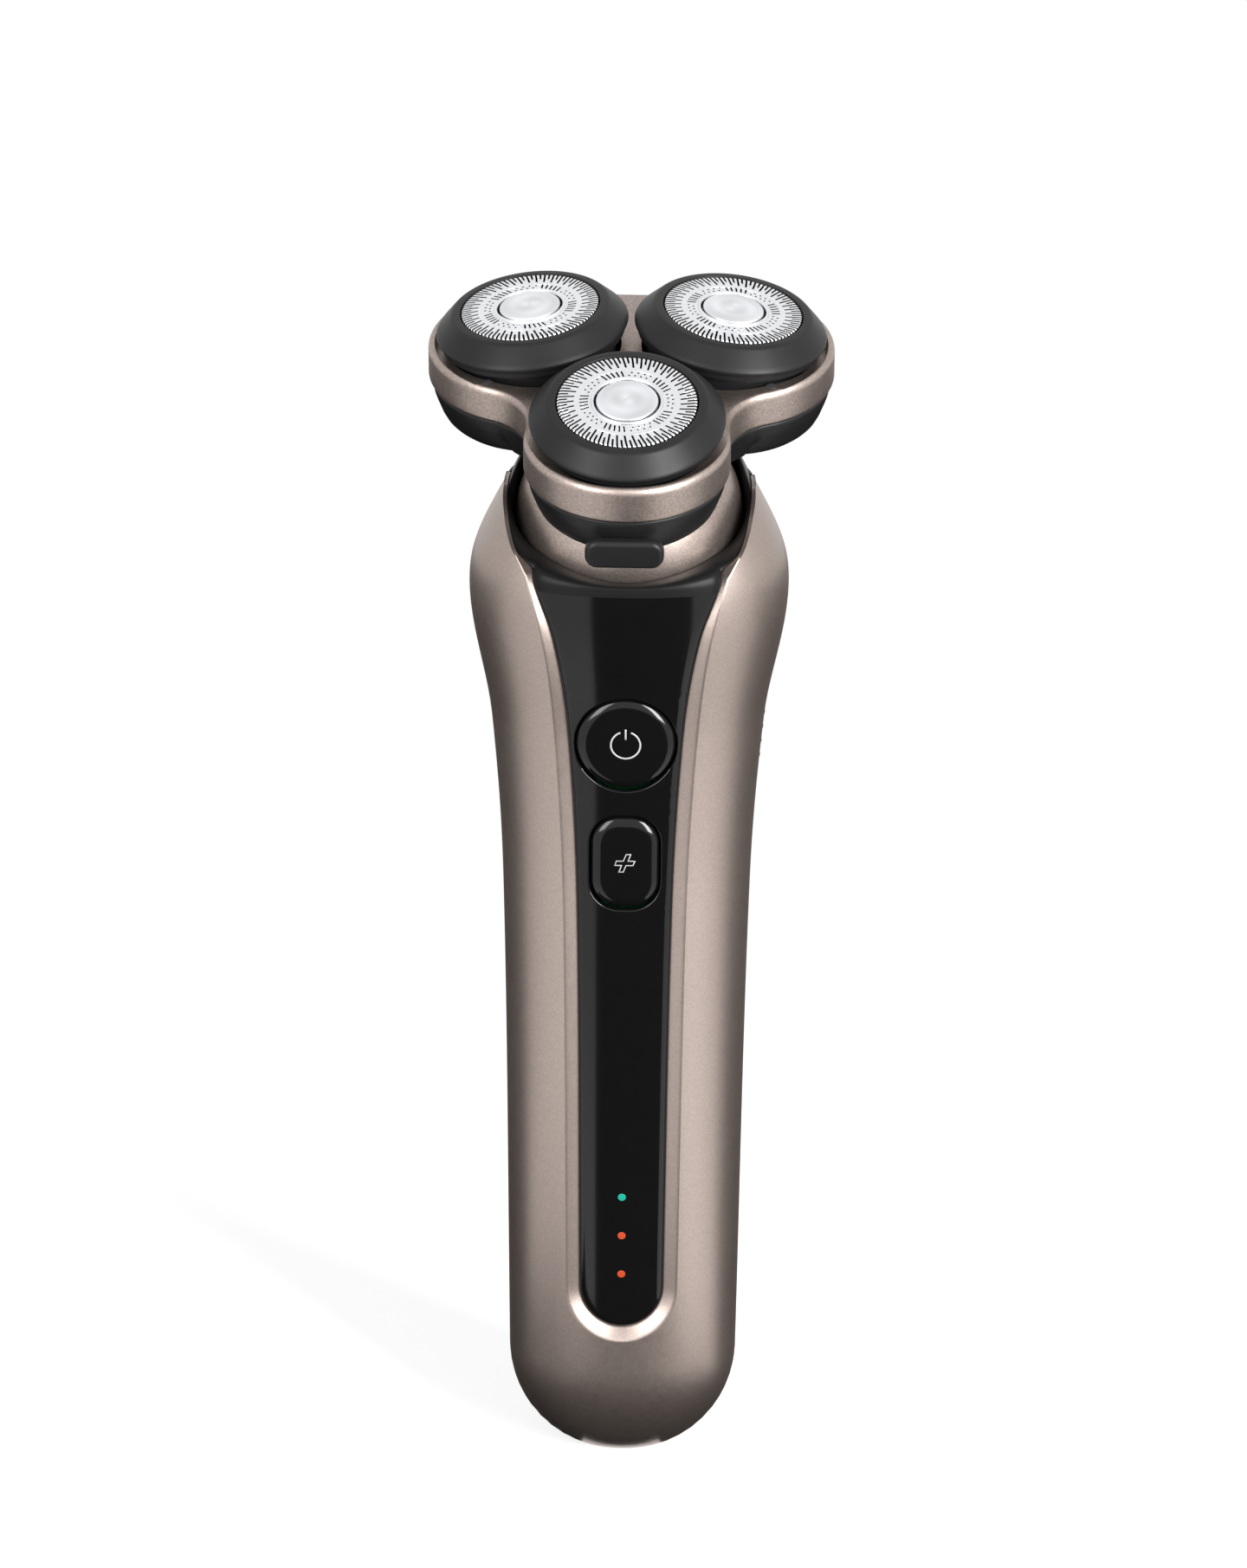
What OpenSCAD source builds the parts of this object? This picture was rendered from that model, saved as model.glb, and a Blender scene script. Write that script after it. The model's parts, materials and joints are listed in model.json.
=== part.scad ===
// Cordless rotary shaver: three floating shaving units on a head that swivels
// on a ball neck, over a tapered handle with a gloss front panel.
// +Z runs up the handle, the front panel faces -Y. Millimetres. The origin is
// the mouth of the charging socket in the rounded lower end.

/* [Handle outline] */
// Height of the rounded lower end
heel_h = 17; // [15:0.5:20]
// Width of the handle at the top of the rounded end
heel_w = 35.5; // [33:0.5:40]
// Front half of the depth at the rounded end
heel_front = 14.2; // [13.5:0.1:16]
// Back half of the depth at the rounded end
heel_back = 14.2; // [13.5:0.1:16]
// Height of the slimmest grip
grip_h = 96; // [90:1:100]
// Width at the grip
grip_w = 38; // [36:0.5:41]
// Front half of the depth at the grip
grip_front = 14.8; // [14.2:0.1:16]
// Back half of the depth at the grip
grip_back = 16.5; // [15.5:0.1:18]
// Drop from the swivel centre to where the handle flares out
flare_drop = 31; // [27:1:35]
// Width where it flares out
flare_w = 41.6; // [40:0.5:44]
// Front half of the depth at the flare
flare_front = 16.4; // [16:0.1:17.2]
// Back half of the depth at the flare
flare_back = 18; // [17:0.1:19.5]
// Drop from the swivel centre to the widest point, the shoulder
shoulder_drop = 7.5; // [5:0.5:10]
// Width at the shoulder
shoulder_w = 48.2; // [46:0.5:51]
// Front half of the depth at the shoulder
shoulder_front = 19.8; // [19.6:0.1:21]
// Back half of the depth at the shoulder
shoulder_back = 20; // [19.5:0.1:22]
// Width between the tops of the collar horns
crest_w = 34.4; // [34:0.5:38]
// Roundness of the cross-section, 2 is an ellipse
section_power = 2.25; // [2:0.05:2.6]
// Half width of the flat round the charging socket
foot_r = 5.4; // [5:0.1:6.5]

/* [Casing] */
// Wall of the casing shells
wall = 1.8; // [1.4:0.1:2.2]
// Gap between neighbouring casing pieces
seam = 0.15; // [0.1:0.05:0.25]
// Angle from the front where front and rear shells meet
parting_angle = 101; // [96:1:108]
// Half width of the front panel in the grip
panel_half_w = 7; // [6:0.1:8]
// Half width of the front panel at its top end
panel_top_half_w = 13.8; // [12.5:0.1:14.5]
// Width of the bevelled lip round the front panel
bevel_w = 1.9; // [1.4:0.1:2.2]
// Depth of the bevelled lip
bevel_depth = 1; // [0.7:0.1:1.2]
// Height of the lower end of the bevelled lip
panel_foot_h = 23; // [20:0.5:26]
// Thickness of the front panel
panel_t = 1.4; // [1.2:0.1:1.8]
// Thickness of the rubber grip
grip_t = 1.2; // [1:0.1:1.4]
// Height of the lower end of the rubber grip
grip_foot_h = 30; // [26:1:40]
// Number of ribs on the rubber grip
rib_count = 11; // [8:1:13]
// Spacing of the ribs
rib_pitch = 2.3; // [2:0.1:2.5]
// Height of the ribs above the rubber
rib_rise = 0.8; // [0.5:0.05:0.9]

/* [Neck] */
// Height of the swivel centre above the socket
neck_h = 153; // [152:0.5:155]
// Forward lean of the head
head_tilt = 15; // [12:0.5:17]
// Radius of the neck ball
ball_r = 17.3; // [16.8:0.1:17.4]
// Wall of the neck ball
ball_wall = 1.8; // [1.5:0.1:2]
// Gap between the ball and the collar
ball_gap = 0.35; // [0.3:0.05:0.45]
// Drop from the swivel centre to the collar's edge at the front
collar_drop = 4; // [3:0.25:5]
// Radius of the swivel pins
pin_r = 1.2; // [1:0.1:1.4]
// Running clearance of pins and shafts
run_gap = 0.05; // [0.03:0.01:0.08]

/* [Head] */
// Height of the shaving faces above the swivel centre
face_h = 31.5; // [31:0.1:33]
// Distance of each shaving unit from the head axis
unit_r = 17.6; // [17.4:0.1:18.2]
// Outward lean of each shaving unit
unit_lean = 7.5; // [6:0.5:8]
// Radius of the head's lobes
lobe_r = 15.3; // [15.2:0.1:15.8]
// Radius of the hollows between the front and side lobes
hollow_r = 9; // [8:0.5:12]
// Radius of the hollow between the side lobes at the rear
rear_hollow_r = 90; // [60:5:120]
// Drop from the shaving faces to the top of the head frame
frame_drop = 5.3; // [4.9:0.1:5.5]
// Drop from the shaving faces to the joint between head frame and head shell
split_drop = 11.5; // [11.3:0.1:11.7]

/* [Shaving units] */
// Outer radius of the soft ring
ring_r = 14.4; // [14:0.1:14.5]
// Radius of the metal guard
guard_r = 10.4; // [10:0.1:10.6]
// Thickness of the guard's face
guard_t = 0.4; // [0.3:0.05:0.5]
// Slots in the outer track
outer_slots = 90; // [72:6:96]
// Width of a slot
slot_w = 0.24; // [0.2:0.02:0.28]
// Slots in each group of the inner track
inner_slots = 5; // [3:1:6]
// Radius of the centre cap
cap_r = 4.6; // [4.2:0.1:4.8]
// Blades on each cutter
blade_count = 15; // [9:1:18]
// Gap between blades and guard
blade_gap = 0.1; // [0.05:0.01:0.15]

/* [Buttons and lights] */
// Diameter of the power button
power_d = 15; // [14:0.1:15.2]
// Drop from the swivel centre to the power button's centre
power_drop = 31; // [30:0.5:33]
// Width of the boost button
boost_w = 10.4; // [9.5:0.1:11]
// Length of the boost button
boost_l = 15; // [14:0.1:15.4]
// Drop from the swivel centre to the boost button's centre
boost_drop = 50.5; // [49:0.5:52]
// Travel of both buttons
button_travel = 0.5; // [0.3:0.05:0.6]
// Gap round each button
button_gap = 0.25; // [0.2:0.05:0.4]
// Diameter of the indicator lights
light_d = 1.5; // [1.2:0.1:2]
// Height of the lowest indicator light
light_h = 33.5; // [32:0.5:36]
// Spacing of the indicator lights
light_pitch = 6.4; // [5:0.1:7]

/* [Drive] */
// Radius of the motor can
motor_r = 8.2; // [7.8:0.1:8.3]
// Length of the motor can
motor_l = 25; // [23:0.5:26]
// Drop from the swivel centre to the foot of the motor can
motor_drop = 47.5; // [46:0.5:48]
// Radius of the motor shaft
shaft_r = 1; // [0.8:0.05:1.2]
// Radius of the ball on the motor shaft
drive_ball_r = 2.1; // [1.9:0.05:2.2]
// Teeth of the centre gear
sun_teeth = 15; // [12:3:18]
// Teeth of each driven gear
planet_teeth = 27; // [24:3:30]
// Face width of the gears
gear_t = 2.2; // [1.8:0.1:2.4]
// Radius of the spindles
spindle_r = 1.5; // [1.3:0.1:1.6]

/* [Power] */
// Radius of the battery cell
cell_r = 7; // [6.5:0.1:7.2]
// Length of the battery cell
cell_l = 49; // [44:1:50]
// Height of the foot of the battery cell
cell_h = 36; // [34:0.5:38]
// Radius of the charging socket's bore
socket_bore_r = 2.8; // [2.4:0.1:3]
// Depth of the charging socket's bore
socket_bore_l = 6; // [5:0.5:8]

/* [Hidden] */

$fn = 64;
FRONT = -90;
LEFT = 150;
RIGHT = 30;

taupe = [0.59, 0.53, 0.51];
gloss = [0.05, 0.05, 0.055];
soft = [0.12, 0.12, 0.125];
steel = [0.78, 0.79, 0.8];

// ---- Handle surface -------------------------------------------------------

flare_h = neck_h - flare_drop;
shoulder_h = neck_h - shoulder_drop;
collar_front_h = neck_h - collar_drop;
power_h = neck_h - power_drop;
boost_h = neck_h - boost_drop;
motor_h = neck_h - motor_drop;
crest_h = neck_h + 9;
deck_top_h = neck_h - 11.2;
frame_top_h = face_h - frame_drop;
split_h = face_h - split_drop;
width_line = [[heel_h, heel_w / 2], [grip_h, grip_w / 2], [flare_h, flare_w / 2],
    [shoulder_h, shoulder_w / 2], [crest_h, crest_w / 2]];
front_line = [[heel_h, heel_front], [grip_h, grip_front], [flare_h, flare_front],
    [shoulder_h, shoulder_front], [crest_h, crest_w / 2 + 1]];
back_line = [[heel_h, heel_back], [grip_h, grip_back], [flare_h, flare_back],
    [shoulder_h, shoulder_back], [crest_h, crest_w / 2 + 0.6]];
panel_top_h = collar_front_h - 0.3;
panel_line = [[panel_foot_h + panel_half_w, panel_half_w - 0.4], [grip_h, panel_half_w + 0.4],
    [flare_h, max(panel_half_w + 1.75, power_d / 2 + 1.2)], [(flare_h + panel_top_h) / 2, panel_half_w
        + 3.5],
    [panel_top_h, panel_top_half_w]];

function clamp01(t) = max(0, min(1, t));
function ease(t) = let (c = clamp01(t)) c * c * (3 - 2 * c);
function mix(a, b, t) = a + (b - a) * t;

// Smooth curve through [position, value] stations
function slope(s, i) = let (a = max(i - 1, 0), b = min(i + 1, len(s) - 1))
    (s[b][1] - s[a][1]) / (s[b][0] - s[a][0]);
function span(s, z, i = 0) = i >= len(s) - 2 || z <= s[i + 1][0] ? i : span(s, z, i + 1);
function curve(s, z) = let (i = span(s, z), h = s[i + 1][0] - s[i][0], t = (z - s[i][0]) / h)
    (2 * t - 3) * t * t * (s[i][1] - s[i + 1][1]) + s[i][1]
    + (t - 1) * (t - 1) * t * h * slope(s, i) + (t - 1) * t * t * h * slope(s, i + 1);

// Elliptical rounding of the lower end, down to the flat round the socket
heel_reach = heel_h / sqrt(1 - pow(foot_r / (heel_w / 2), 2));
function heel(z) = z >= heel_h ? 1 : sqrt(1 - pow((heel_h - z) / heel_reach, 2));
function half(line, z) = curve(line, max(z, heel_h)) * heel(z);

// Distance of the handle's surface from its axis, at angle a from the front
function handle_r(z, a) =
    let (depth = cos(a) > 0 ? half(front_line, z) : half(back_line, z))
    1 / pow(pow(abs(sin(a)) / half(width_line, z), section_power)
        + pow(abs(cos(a)) / depth, section_power), 1 / section_power);
function at_angle(r, z, a) = [r * sin(a), -r * cos(a), z];

// Angle at which the front surface stands x from the middle plane
function angle_at(z, x) = atan2(x, half(front_line, z)
    * pow(1 - pow(abs(x) / half(width_line, z), section_power), 1 / section_power));

// ---- Closed skins ---------------------------------------------------------

// A curved wall from a grid of outer points and a grid of inner points
module wall_patch(outer, inner) {
    n = len(outer);
    m = len(outer[0]);
    off = n * m;
    polyhedron(concat([for (row = outer) each row], [for (row = inner) each row]), concat(
        [for (i = [0:n - 2], j = [0:m - 2], k = [0, 1])
            let (a = i * m + j) k == 0 ? [a, a + m, a + m + 1] : [a, a + m + 1, a + 1]],
        [for (i = [0:n - 2], j = [0:m - 2], k = [0, 1])
            let (a = off + i * m + j) k == 0 ? [a, a + m + 1, a + m] : [a, a + 1, a + m + 1]],
        [for (j = [0:m - 2], k = [0, 1])
            k == 0 ? [j, j + 1, off + j + 1] : [j, off + j + 1, off + j]],
        [for (j = [0:m - 2], k = [0, 1]) let (a = (n - 1) * m + j)
            k == 0 ? [a, off + a + 1, a + 1] : [a, off + a, off + a + 1]],
        [for (i = [0:n - 2], k = [0, 1]) let (a = i * m)
            k == 0 ? [a, off + a + m, a + m] : [a, off + a, off + a + m]],
        [for (i = [0:n - 2], k = [0, 1]) let (a = i * m + m - 1)
            k == 0 ? [a, a + m, off + a + m] : [a, off + a + m, off + a]]));
}

// A ring whose section changes as it goes round: a closed loop of sections
module loop_skin(sections) {
    n = len(sections);
    m = len(sections[0]);
    polyhedron([for (s = sections) each s], [for (i = [0:n - 1], j = [0:m - 1], k = [0, 1])
        let (a = i * m + j, b = i * m + (j + 1) % m,
            c = ((i + 1) % n) * m + j, d = ((i + 1) % n) * m + (j + 1) % m)
        k == 0 ? [a, b, d] : [a, d, c]]);
}

// A solid stack of closed level outlines round the Z axis
module level_skin(levels) {
    n = len(levels);
    m = len(levels[0]);
    polyhedron(concat([for (s = levels) each s], [[0, 0, levels[0][0][2]], [0, 0, levels[n - 1][0][2]]]),
        concat(
        [for (i = [0:n - 2], j = [0:m - 1], k = [0, 1])
            let (a = i * m + j, b = i * m + (j + 1) % m) k == 0 ? [a, a + m, b + m] : [a, b + m, b]],
        [for (j = [0:m - 1]) [n * m, j, (j + 1) % m]],
        [for (j = [0:m - 1]) [n * m + 1, (n - 1) * m + (j + 1) % m, (n - 1) * m + j]]));
}

// ---- Handle shells --------------------------------------------------------

socket_outer_r = socket_bore_r + 0.8;
shell_side_h = collar_front_h + 9.8;
function shell_top(a) = panel_top_h + (shell_side_h - panel_top_h)
    * pow(sin(90 * clamp01((a - 45) / 45)), 0.75);

lip_r = panel_half_w - 0.4 + bevel_w;
lip_centre_h = panel_foot_h + lip_r;
function lip_w(z) = bevel_w * mix(1, 0.63, ease((z - flare_h) / (panel_top_h - flare_h)));
function u_end(z, r) = z >= lip_centre_h ? 1
    : z <= lip_centre_h - r ? 0 : sqrt(1 - pow((lip_centre_h - z) / r, 2));
function panel_half(z) = curve(panel_line, max(z, lip_centre_h)) * u_end(z, lip_r - bevel_w);
function lip_half(z) = (curve(panel_line, max(z, lip_centre_h)) + lip_w(z)) * u_end(z, lip_r);

heel_rings = [for (t = [0:6]) heel_h * (1 - cos(15 * t))];
panel_rings = [for (t = [1:6]) lip_centre_h - (lip_r - bevel_w) * cos(15 * t)];
lip_rings = concat([for (t = [0, 8, 16, 24]) lip_centre_h - lip_r * cos(t)],
    [lip_centre_h - lip_r + bevel_w], panel_rings);
grip_rings = [for (t = [0:4]) mix(lip_centre_h + 8, grip_h, t / 4)];
flare_rings = [for (t = [1:7]) mix(grip_h, shoulder_h - 3, t / 7)];
side_rings = concat(heel_rings, lip_rings, grip_rings, flare_rings);
last_ring_h = shoulder_h - 3;
top_steps = 5;

function wall_at(z) = mix(wall, 1, ease((z - shoulder_h) / (shell_side_h - shoulder_h)));
function inner_r(z, a) = max(handle_r(z, a) - wall_at(z), socket_outer_r + 0.1);

function shell_angles(z, side_n) = let (lip = lip_half(z), a0 = angle_at(z, lip))
    concat([angle_at(z, panel_half(z)), a0],
        [for (j = [1:side_n]) mix(a0, parting_angle, j / side_n)]);

module half_front_shell() {
    side_n = 10;
    rows = concat([for (z = side_rings) [z, 0]],
        [for (t = [1:top_steps]) [mix(last_ring_h, panel_top_h, t / top_steps), t / top_steps]]);
    function height(z, t, a) = t == 0 ? z : mix(last_ring_h, shell_top(a), t);
    wall_patch(
        [for (row = rows) let (as = shell_angles(row[0], side_n))
            [for (j = [0:side_n + 1]) let (h = height(row[0], row[1], as[j]))
                at_angle(handle_r(h, as[j]) - (j == 0 ? bevel_depth : 0), h, as[j])]],
        [for (row = rows) let (as = shell_angles(row[0], side_n))
            [for (j = [0:side_n + 1]) let (h = height(row[0], row[1], as[j]))
                at_angle(inner_r(h, as[j]), h, as[j])]]);
}

module front_shell() color(taupe) {
    half_front_shell();
    mirror([1, 0, 0]) half_front_shell();
}

rear_from = parting_angle + 0.5;
rear_steps = 16;
grip_head_h = deck_top_h - 1;
function rear_angle(j) = mix(rear_from, 360 - rear_from, j / rear_steps);

function rear_skin_r(z, a) = handle_r(z, a) - (z >= grip_foot_h && z <= grip_head_h ? grip_t + 0.12 : 0);

module rear_shell() color(soft) {
    step = 0.05;
    rings = concat(heel_rings, [heel_h + (grip_foot_h - heel_h) / 2, grip_foot_h - step, grip_foot_h],
        [for (t = [1:14]) mix(grip_foot_h, grip_head_h, t / 14)], [grip_head_h + step],
        [for (t = [0:top_steps]) mix(last_ring_h, shell_side_h, t / top_steps)]);
    wall_patch([for (z = rings) [for (j = [0:rear_steps]) at_angle(rear_skin_r(z, rear_angle(j)), z,
        rear_angle(j))]],
        [for (z = rings) [for (j = [0:rear_steps]) let (a = rear_angle(j))
            at_angle(inner_r(z, a) - (z >= grip_foot_h - 1 && z <= grip_head_h ? 0.6 : 0), z, a)]]);
}

rib_foot_h = shoulder_h - 9 - (rib_count - 1) * rib_pitch;
function rib(z) = let (u = (z - rib_foot_h) / rib_pitch, fade = mix(0.55, 1, clamp01(u / rib_count)))
    u < -0.5 || u > rib_count - 0.5 ? 0 : rib_rise * fade * pow(max(0, cos(360 * u)), 0.6);

function grip_angle(j) = mix(rear_from + 0.2, 360 - rear_from - 0.2, j / rear_steps);

module rear_grip() color(soft) {
    edge = 0.12;
    ribs = [for (i = [0:rib_count - 1], t = [-0.5, -0.2, 0, 0.2]) rib_foot_h + (i + t) * rib_pitch];
    rings = concat([grip_foot_h + edge], [for (t = [1:7]) mix(grip_foot_h, rib_foot_h - rib_pitch, t / 7)],
        ribs, [rib_foot_h + (rib_count - 0.5) * rib_pitch, mix(rib_foot_h + rib_count * rib_pitch,
            grip_head_h, 0.5),
            grip_head_h - edge]);
    wall_patch([for (z = rings) [for (j = [0:rear_steps]) at_angle(handle_r(z, grip_angle(j)) + rib(z), z,
        grip_angle(j))]],
        [for (z = rings) [for (j = [0:rear_steps]) at_angle(handle_r(z, grip_angle(j)) - grip_t, z,
            grip_angle(j))]]);
}

panel_sink = 0.4;
panel_edge = 0.15;

panel_cols = 10;
function panel_row(z, inset) = [for (j = [-panel_cols / 2:panel_cols / 2])
    let (a = angle_at(z, (panel_half(z) - panel_edge) * j * 2 / panel_cols)) at_angle(handle_r(z, a)
        - inset, z, a)];

module front_panel() color(gloss) {
    rings = concat(panel_rings, grip_rings, flare_rings, [for (t = [1:2]) mix(last_ring_h, panel_top_h,
        t / 2)]);
    difference() {
        wall_patch([for (z = rings) panel_row(z, panel_sink)],
            [for (z = rings) panel_row(z, panel_sink + panel_t)]);
        on_panel(power_h) cylinder(d = power_d + 2 * button_gap, h = 8, center = true);
        on_panel(boost_h) linear_extrude(8, center = true) pill(boost_w + 2 * button_gap, boost_l
            + 2 * button_gap);
        for (i = [0:2]) on_panel(light_h + i * light_pitch) cylinder(d = light_d + 0.1, h = 8,
            center = true);
    }
}

// Rounded bar shape, l long and w wide
module pill(w, l) {
    r = min(w, l) * 0.42;
    for (x = [-1, 1], y = [-1, 1]) translate([x * (w / 2 - r), y * (l / 2 - r)]) circle(r);
    square([w - 2 * r, l], center = true);
    square([w, l - 2 * r], center = true);
}

// Moves children to the panel's surface at height z, with +Z out of the panel
function panel_y(z) = -(half(front_line, z) - panel_sink);
function panel_lean(z) = atan((panel_y(z - 1) - panel_y(z + 1)) / 2);
module on_panel(z) translate([0, panel_y(z), z]) rotate([90 + panel_lean(z), 0, 0]) children();

// ---- Neck -----------------------------------------------------------------

cup_r = ball_r + ball_gap;
collar_foot_h = deck_top_h + 0.1;
function cup_edge_h(a) = let (b = min(abs(a), 90)) collar_front_h + 4 * pow(sin(b), 2)
    + 5.5 * ease((abs(a) - 70) / 30);
function crest_edge_h(a) = max(panel_top_h + 0.2, shell_top(abs(a)) + 0.15
    + 3.3 * ease((abs(a) - 70) / 22));
function cup_at(z) = sqrt(cup_r * cup_r - pow(z - neck_h, 2));

function skin_inset(a) = mix(panel_sink, 0, ease((abs(a) - 38) / 8));

function collar_body(z, a) = handle_r(z, a)
    - (abs(a) < 50 ? max(panel_sink + panel_t, wall_at(z)) : wall_at(z)) - 0.2;
collar_half = concat([0, 10, 20, 30], shell_angles(panel_top_h, 10),
    [for (t = [1:7]) mix(parting_angle, 180, t / 7)]);
collar_turns = concat(collar_half, [for (i = [len(collar_half) - 2:-1:1]) -collar_half[i]]);

module neck_collar() color(gloss) {
    loop_skin([for (i = [0:len(collar_turns) - 1]) let (a = collar_turns[i], low_h = last_ring_h + 0.1,
        side_h = shell_top(abs(a)) + 0.1, top_h = crest_edge_h(a), cup_h = cup_edge_h(a))
        concat([at_angle(collar_body(collar_foot_h, a), collar_foot_h, a)],
            [for (t = [0:top_steps]) let (z = mix(low_h, side_h, t / top_steps)) at_angle(collar_body(z,
                a), z, a)],
            [at_angle(handle_r(side_h, a) - skin_inset(a), side_h, a),
                at_angle(handle_r(mix(side_h, top_h, 0.6), a) - skin_inset(a), mix(side_h, top_h, 0.6), a),
                at_angle(handle_r(top_h, a) - skin_inset(a) - 0.35, top_h + 0.05, a)],
            [for (t = [0:4]) let (z = mix(cup_h, collar_foot_h, t / 4)) at_angle(cup_at(z), z, a)])]);
}

// Moves children to the head's own frame: swivel centre, +Z along the head axis
module in_head() translate([0, 0, neck_h]) rotate([head_tilt, 0, 0]) children();

ball_top = split_h - 7.5;
ball_low = -3;
boss_out = ball_r - ball_wall + 0.3;
gimbal_in = 6.6;
gimbal_out = 9.4;
gimbal_half = 2.2;

module neck_ball() color(taupe) in_head() {
    difference() {
        intersection() {
            difference() {
                sphere(ball_r, $fn = 96);
                sphere(ball_r - ball_wall, $fn = 96);
            }
            translate([0, 0, ball_low]) cylinder(r = ball_r + 1, h = ball_top - ball_low);
        }
        cylinder(r = stalk_r + 0.6, h = ball_r + 1);
    }
    for (s = [-1, 1]) rotate([0, 0, 90 * s]) rotate([0, 90, 0]) {
        translate([0, 0, gimbal_out + 0.4]) cylinder(r = 2.4, h = boss_out - gimbal_out - 0.4);
        translate([0, 0, gimbal_in + 0.4]) cylinder(r = pin_r, h = gimbal_out);
    }
}

fork_in = 10.8;
fork_out = 13;

module gimbal_ring() color(steel) in_head() {
    difference() {
        cylinder(r = gimbal_out, h = 2 * gimbal_half, center = true);
        cylinder(r = gimbal_in, h = 2 * gimbal_half + 1, center = true);
        rotate([90, 0, 0]) cylinder(r = pin_r + run_gap, h = 2 * gimbal_out + 2, center = true);
    }
    for (s = [-1, 1]) rotate([0, 90 * s, 0]) translate([0, 0, (gimbal_in + gimbal_out) / 2]) {
        cylinder(r = pin_r, h = fork_out + 0.4 - (gimbal_in + gimbal_out) / 2);
        cylinder(r = 2, h = fork_in - 0.2 - (gimbal_in + gimbal_out) / 2);
    }
}

fork_foot_h = deck_top_h;
screw_r = 1;
screw_x = 10;
screw_y = 6.2;

module swivel_fork() color("dimgray") {
    difference() {
        union() {
            for (s = [-1, 1]) translate([s * (fork_in + fork_out) / 2, 0, fork_foot_h]) {
                translate([-(fork_out - fork_in) / 2, -2.4, 0])
                    cube([fork_out - fork_in, 4.8, neck_h - fork_foot_h]);
                translate([0, 0, neck_h - fork_foot_h]) rotate([0, 90, 0])
                    cylinder(r = 2.4, h = fork_out - fork_in, center = true);
            }
            translate([0, 0, fork_foot_h]) cylinder(r = fork_out, h = 1.8);
        }
        translate([0, 0, neck_h]) rotate([0, 90, 0]) cylinder(r = pin_r + run_gap, h = 40, center = true);
        translate([0, 0, fork_foot_h - 1]) cylinder(r = 5.5, h = 4);
        for (x = [-1, 1], y = [-1, 1]) translate([x * (screw_x - 2.2), y * screw_y, fork_foot_h - 1])
            cylinder(r = screw_r + 0.1, h = 4);
    }
}

module deck_screws() color("silver")
    for (x = [-1, 1], y = [-1, 1]) translate([x * (screw_x - 2.2), y * screw_y, fork_foot_h]) {
        translate([0, 0, -3.4]) cylinder(r = screw_r, h = 5.2);
        translate([0, 0, 1.8]) difference() {
            cylinder(r = 1.8, h = 1);
            translate([0, 0, 0.4]) for (a = [0, 90]) rotate([0, 0, a]) cube([2.4, 0.5, 1.4], center = true);
        }
    }

// ---- Inside the handle ----------------------------------------------------

board_y = -10.7;
board_t = 1;
board_w = 11.5;
board_foot_h = 27;
board_top_h = deck_top_h - 10.8;
spine_y = 9.2;
spine_t = 2;
deck_t = 4;

// Plate that fills the handle's bore at height z
module bulkhead(z, t) {
    free = wall + 0.75;
    translate([0, 0, z]) linear_extrude(t) polygon([for (i = [0:47]) let (a = 7.5 * i,
        r = min(handle_r(z, a), handle_r(z + t, a)) - free - (cos(a) < -0.1 ? 0.7 : 0)) [r * sin(a),
            -r * cos(a)]]);
}

module chassis() color("gray") difference() {
    union() {
        bulkhead(cell_h - 4, 2.5);
        bulkhead(cell_h + cell_l + 4, 2.5);
        translate([0, 0, deck_top_h - deck_t]) intersection() {
            cylinder(r = cup_at(collar_foot_h) + 1.6, h = deck_t);
            translate([0, 0, -deck_top_h + deck_t]) bulkhead(deck_top_h - deck_t, deck_t);
        }
        translate([-6, spine_y, cell_h - 4]) cube([12, spine_t, deck_top_h - cell_h]);
        translate([0, 0, motor_h + 6]) cylinder(r = motor_r + 1.8, h = 10);
    }
    translate([0, 0, motor_h - 1]) cylinder(r = motor_r + 0.05, h = motor_l + 6.2);
    translate([0, 0, deck_top_h - deck_t - 1]) cylinder(r = 5.5, h = deck_t + 2);
    translate([0, 0, cell_h - 5]) cylinder(r = 4, h = 5);
    translate([0, 0, cell_h + cell_l + 3]) cylinder(r = 4, h = 5);
    translate([-15, board_y - 10, cell_h - 5]) cube([30, 10 + board_t + 0.15, deck_top_h - deck_t - cell_h
        + 4]);
    for (x = [-1, 1], y = [-1, 1]) translate([x * (screw_x - 2.2), y * screw_y, deck_top_h - 3.5])
        cylinder(r = screw_r, h = 4);
}

module battery_cell() color("seagreen") translate([0, 0, cell_h]) {
    cylinder(r = cell_r, h = cell_l - 1.2);
    translate([0, 0, cell_l - 1.2]) cylinder(r = 2.6, h = 1.2);
}

module cell_tabs() color("gold") for (end = [0, 1]) translate([0, 0, end == 0 ? cell_h : cell_h + cell_l]) {
    mirror([0, 0, end == 0 ? 1 : 0]) {
        cylinder(r = 2.4, h = 0.3);
        translate([-1.5, board_y + board_t, 0]) cube([3, -board_y - board_t, 0.3]);
    }
}

module circuit_board() color("darkgreen") {
    translate([-board_w / 2, board_y, board_foot_h]) cube([board_w, board_t, board_top_h - board_foot_h]);
    for (z = [cell_h + 22, cell_h + 31, cell_h + 40]) translate([-3, board_y + board_t, z])
        cube([6, 0.8, 4]);
}

switch_t = 1;
module tact_switches() color("silver") for (z = [power_h, boost_h]) {
    translate([-2.6, board_y - switch_t, z - 2.6]) cube([5.2, switch_t, 5.2]);
}

module light_guides() color("mediumseagreen") for (i = [0:2]) on_panel(light_h + i * light_pitch) {
    translate([0, 0, -0.05]) mirror([0, 0, 1]) cylinder(d = light_d,
        h = panel_reach(light_h + i * light_pitch) - 0.05);
    translate([0, 0, -panel_t - 0.6]) cylinder(d = light_d + 0.9, h = 0.55);
}
function panel_reach(z) = board_y - panel_y(z);

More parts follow.
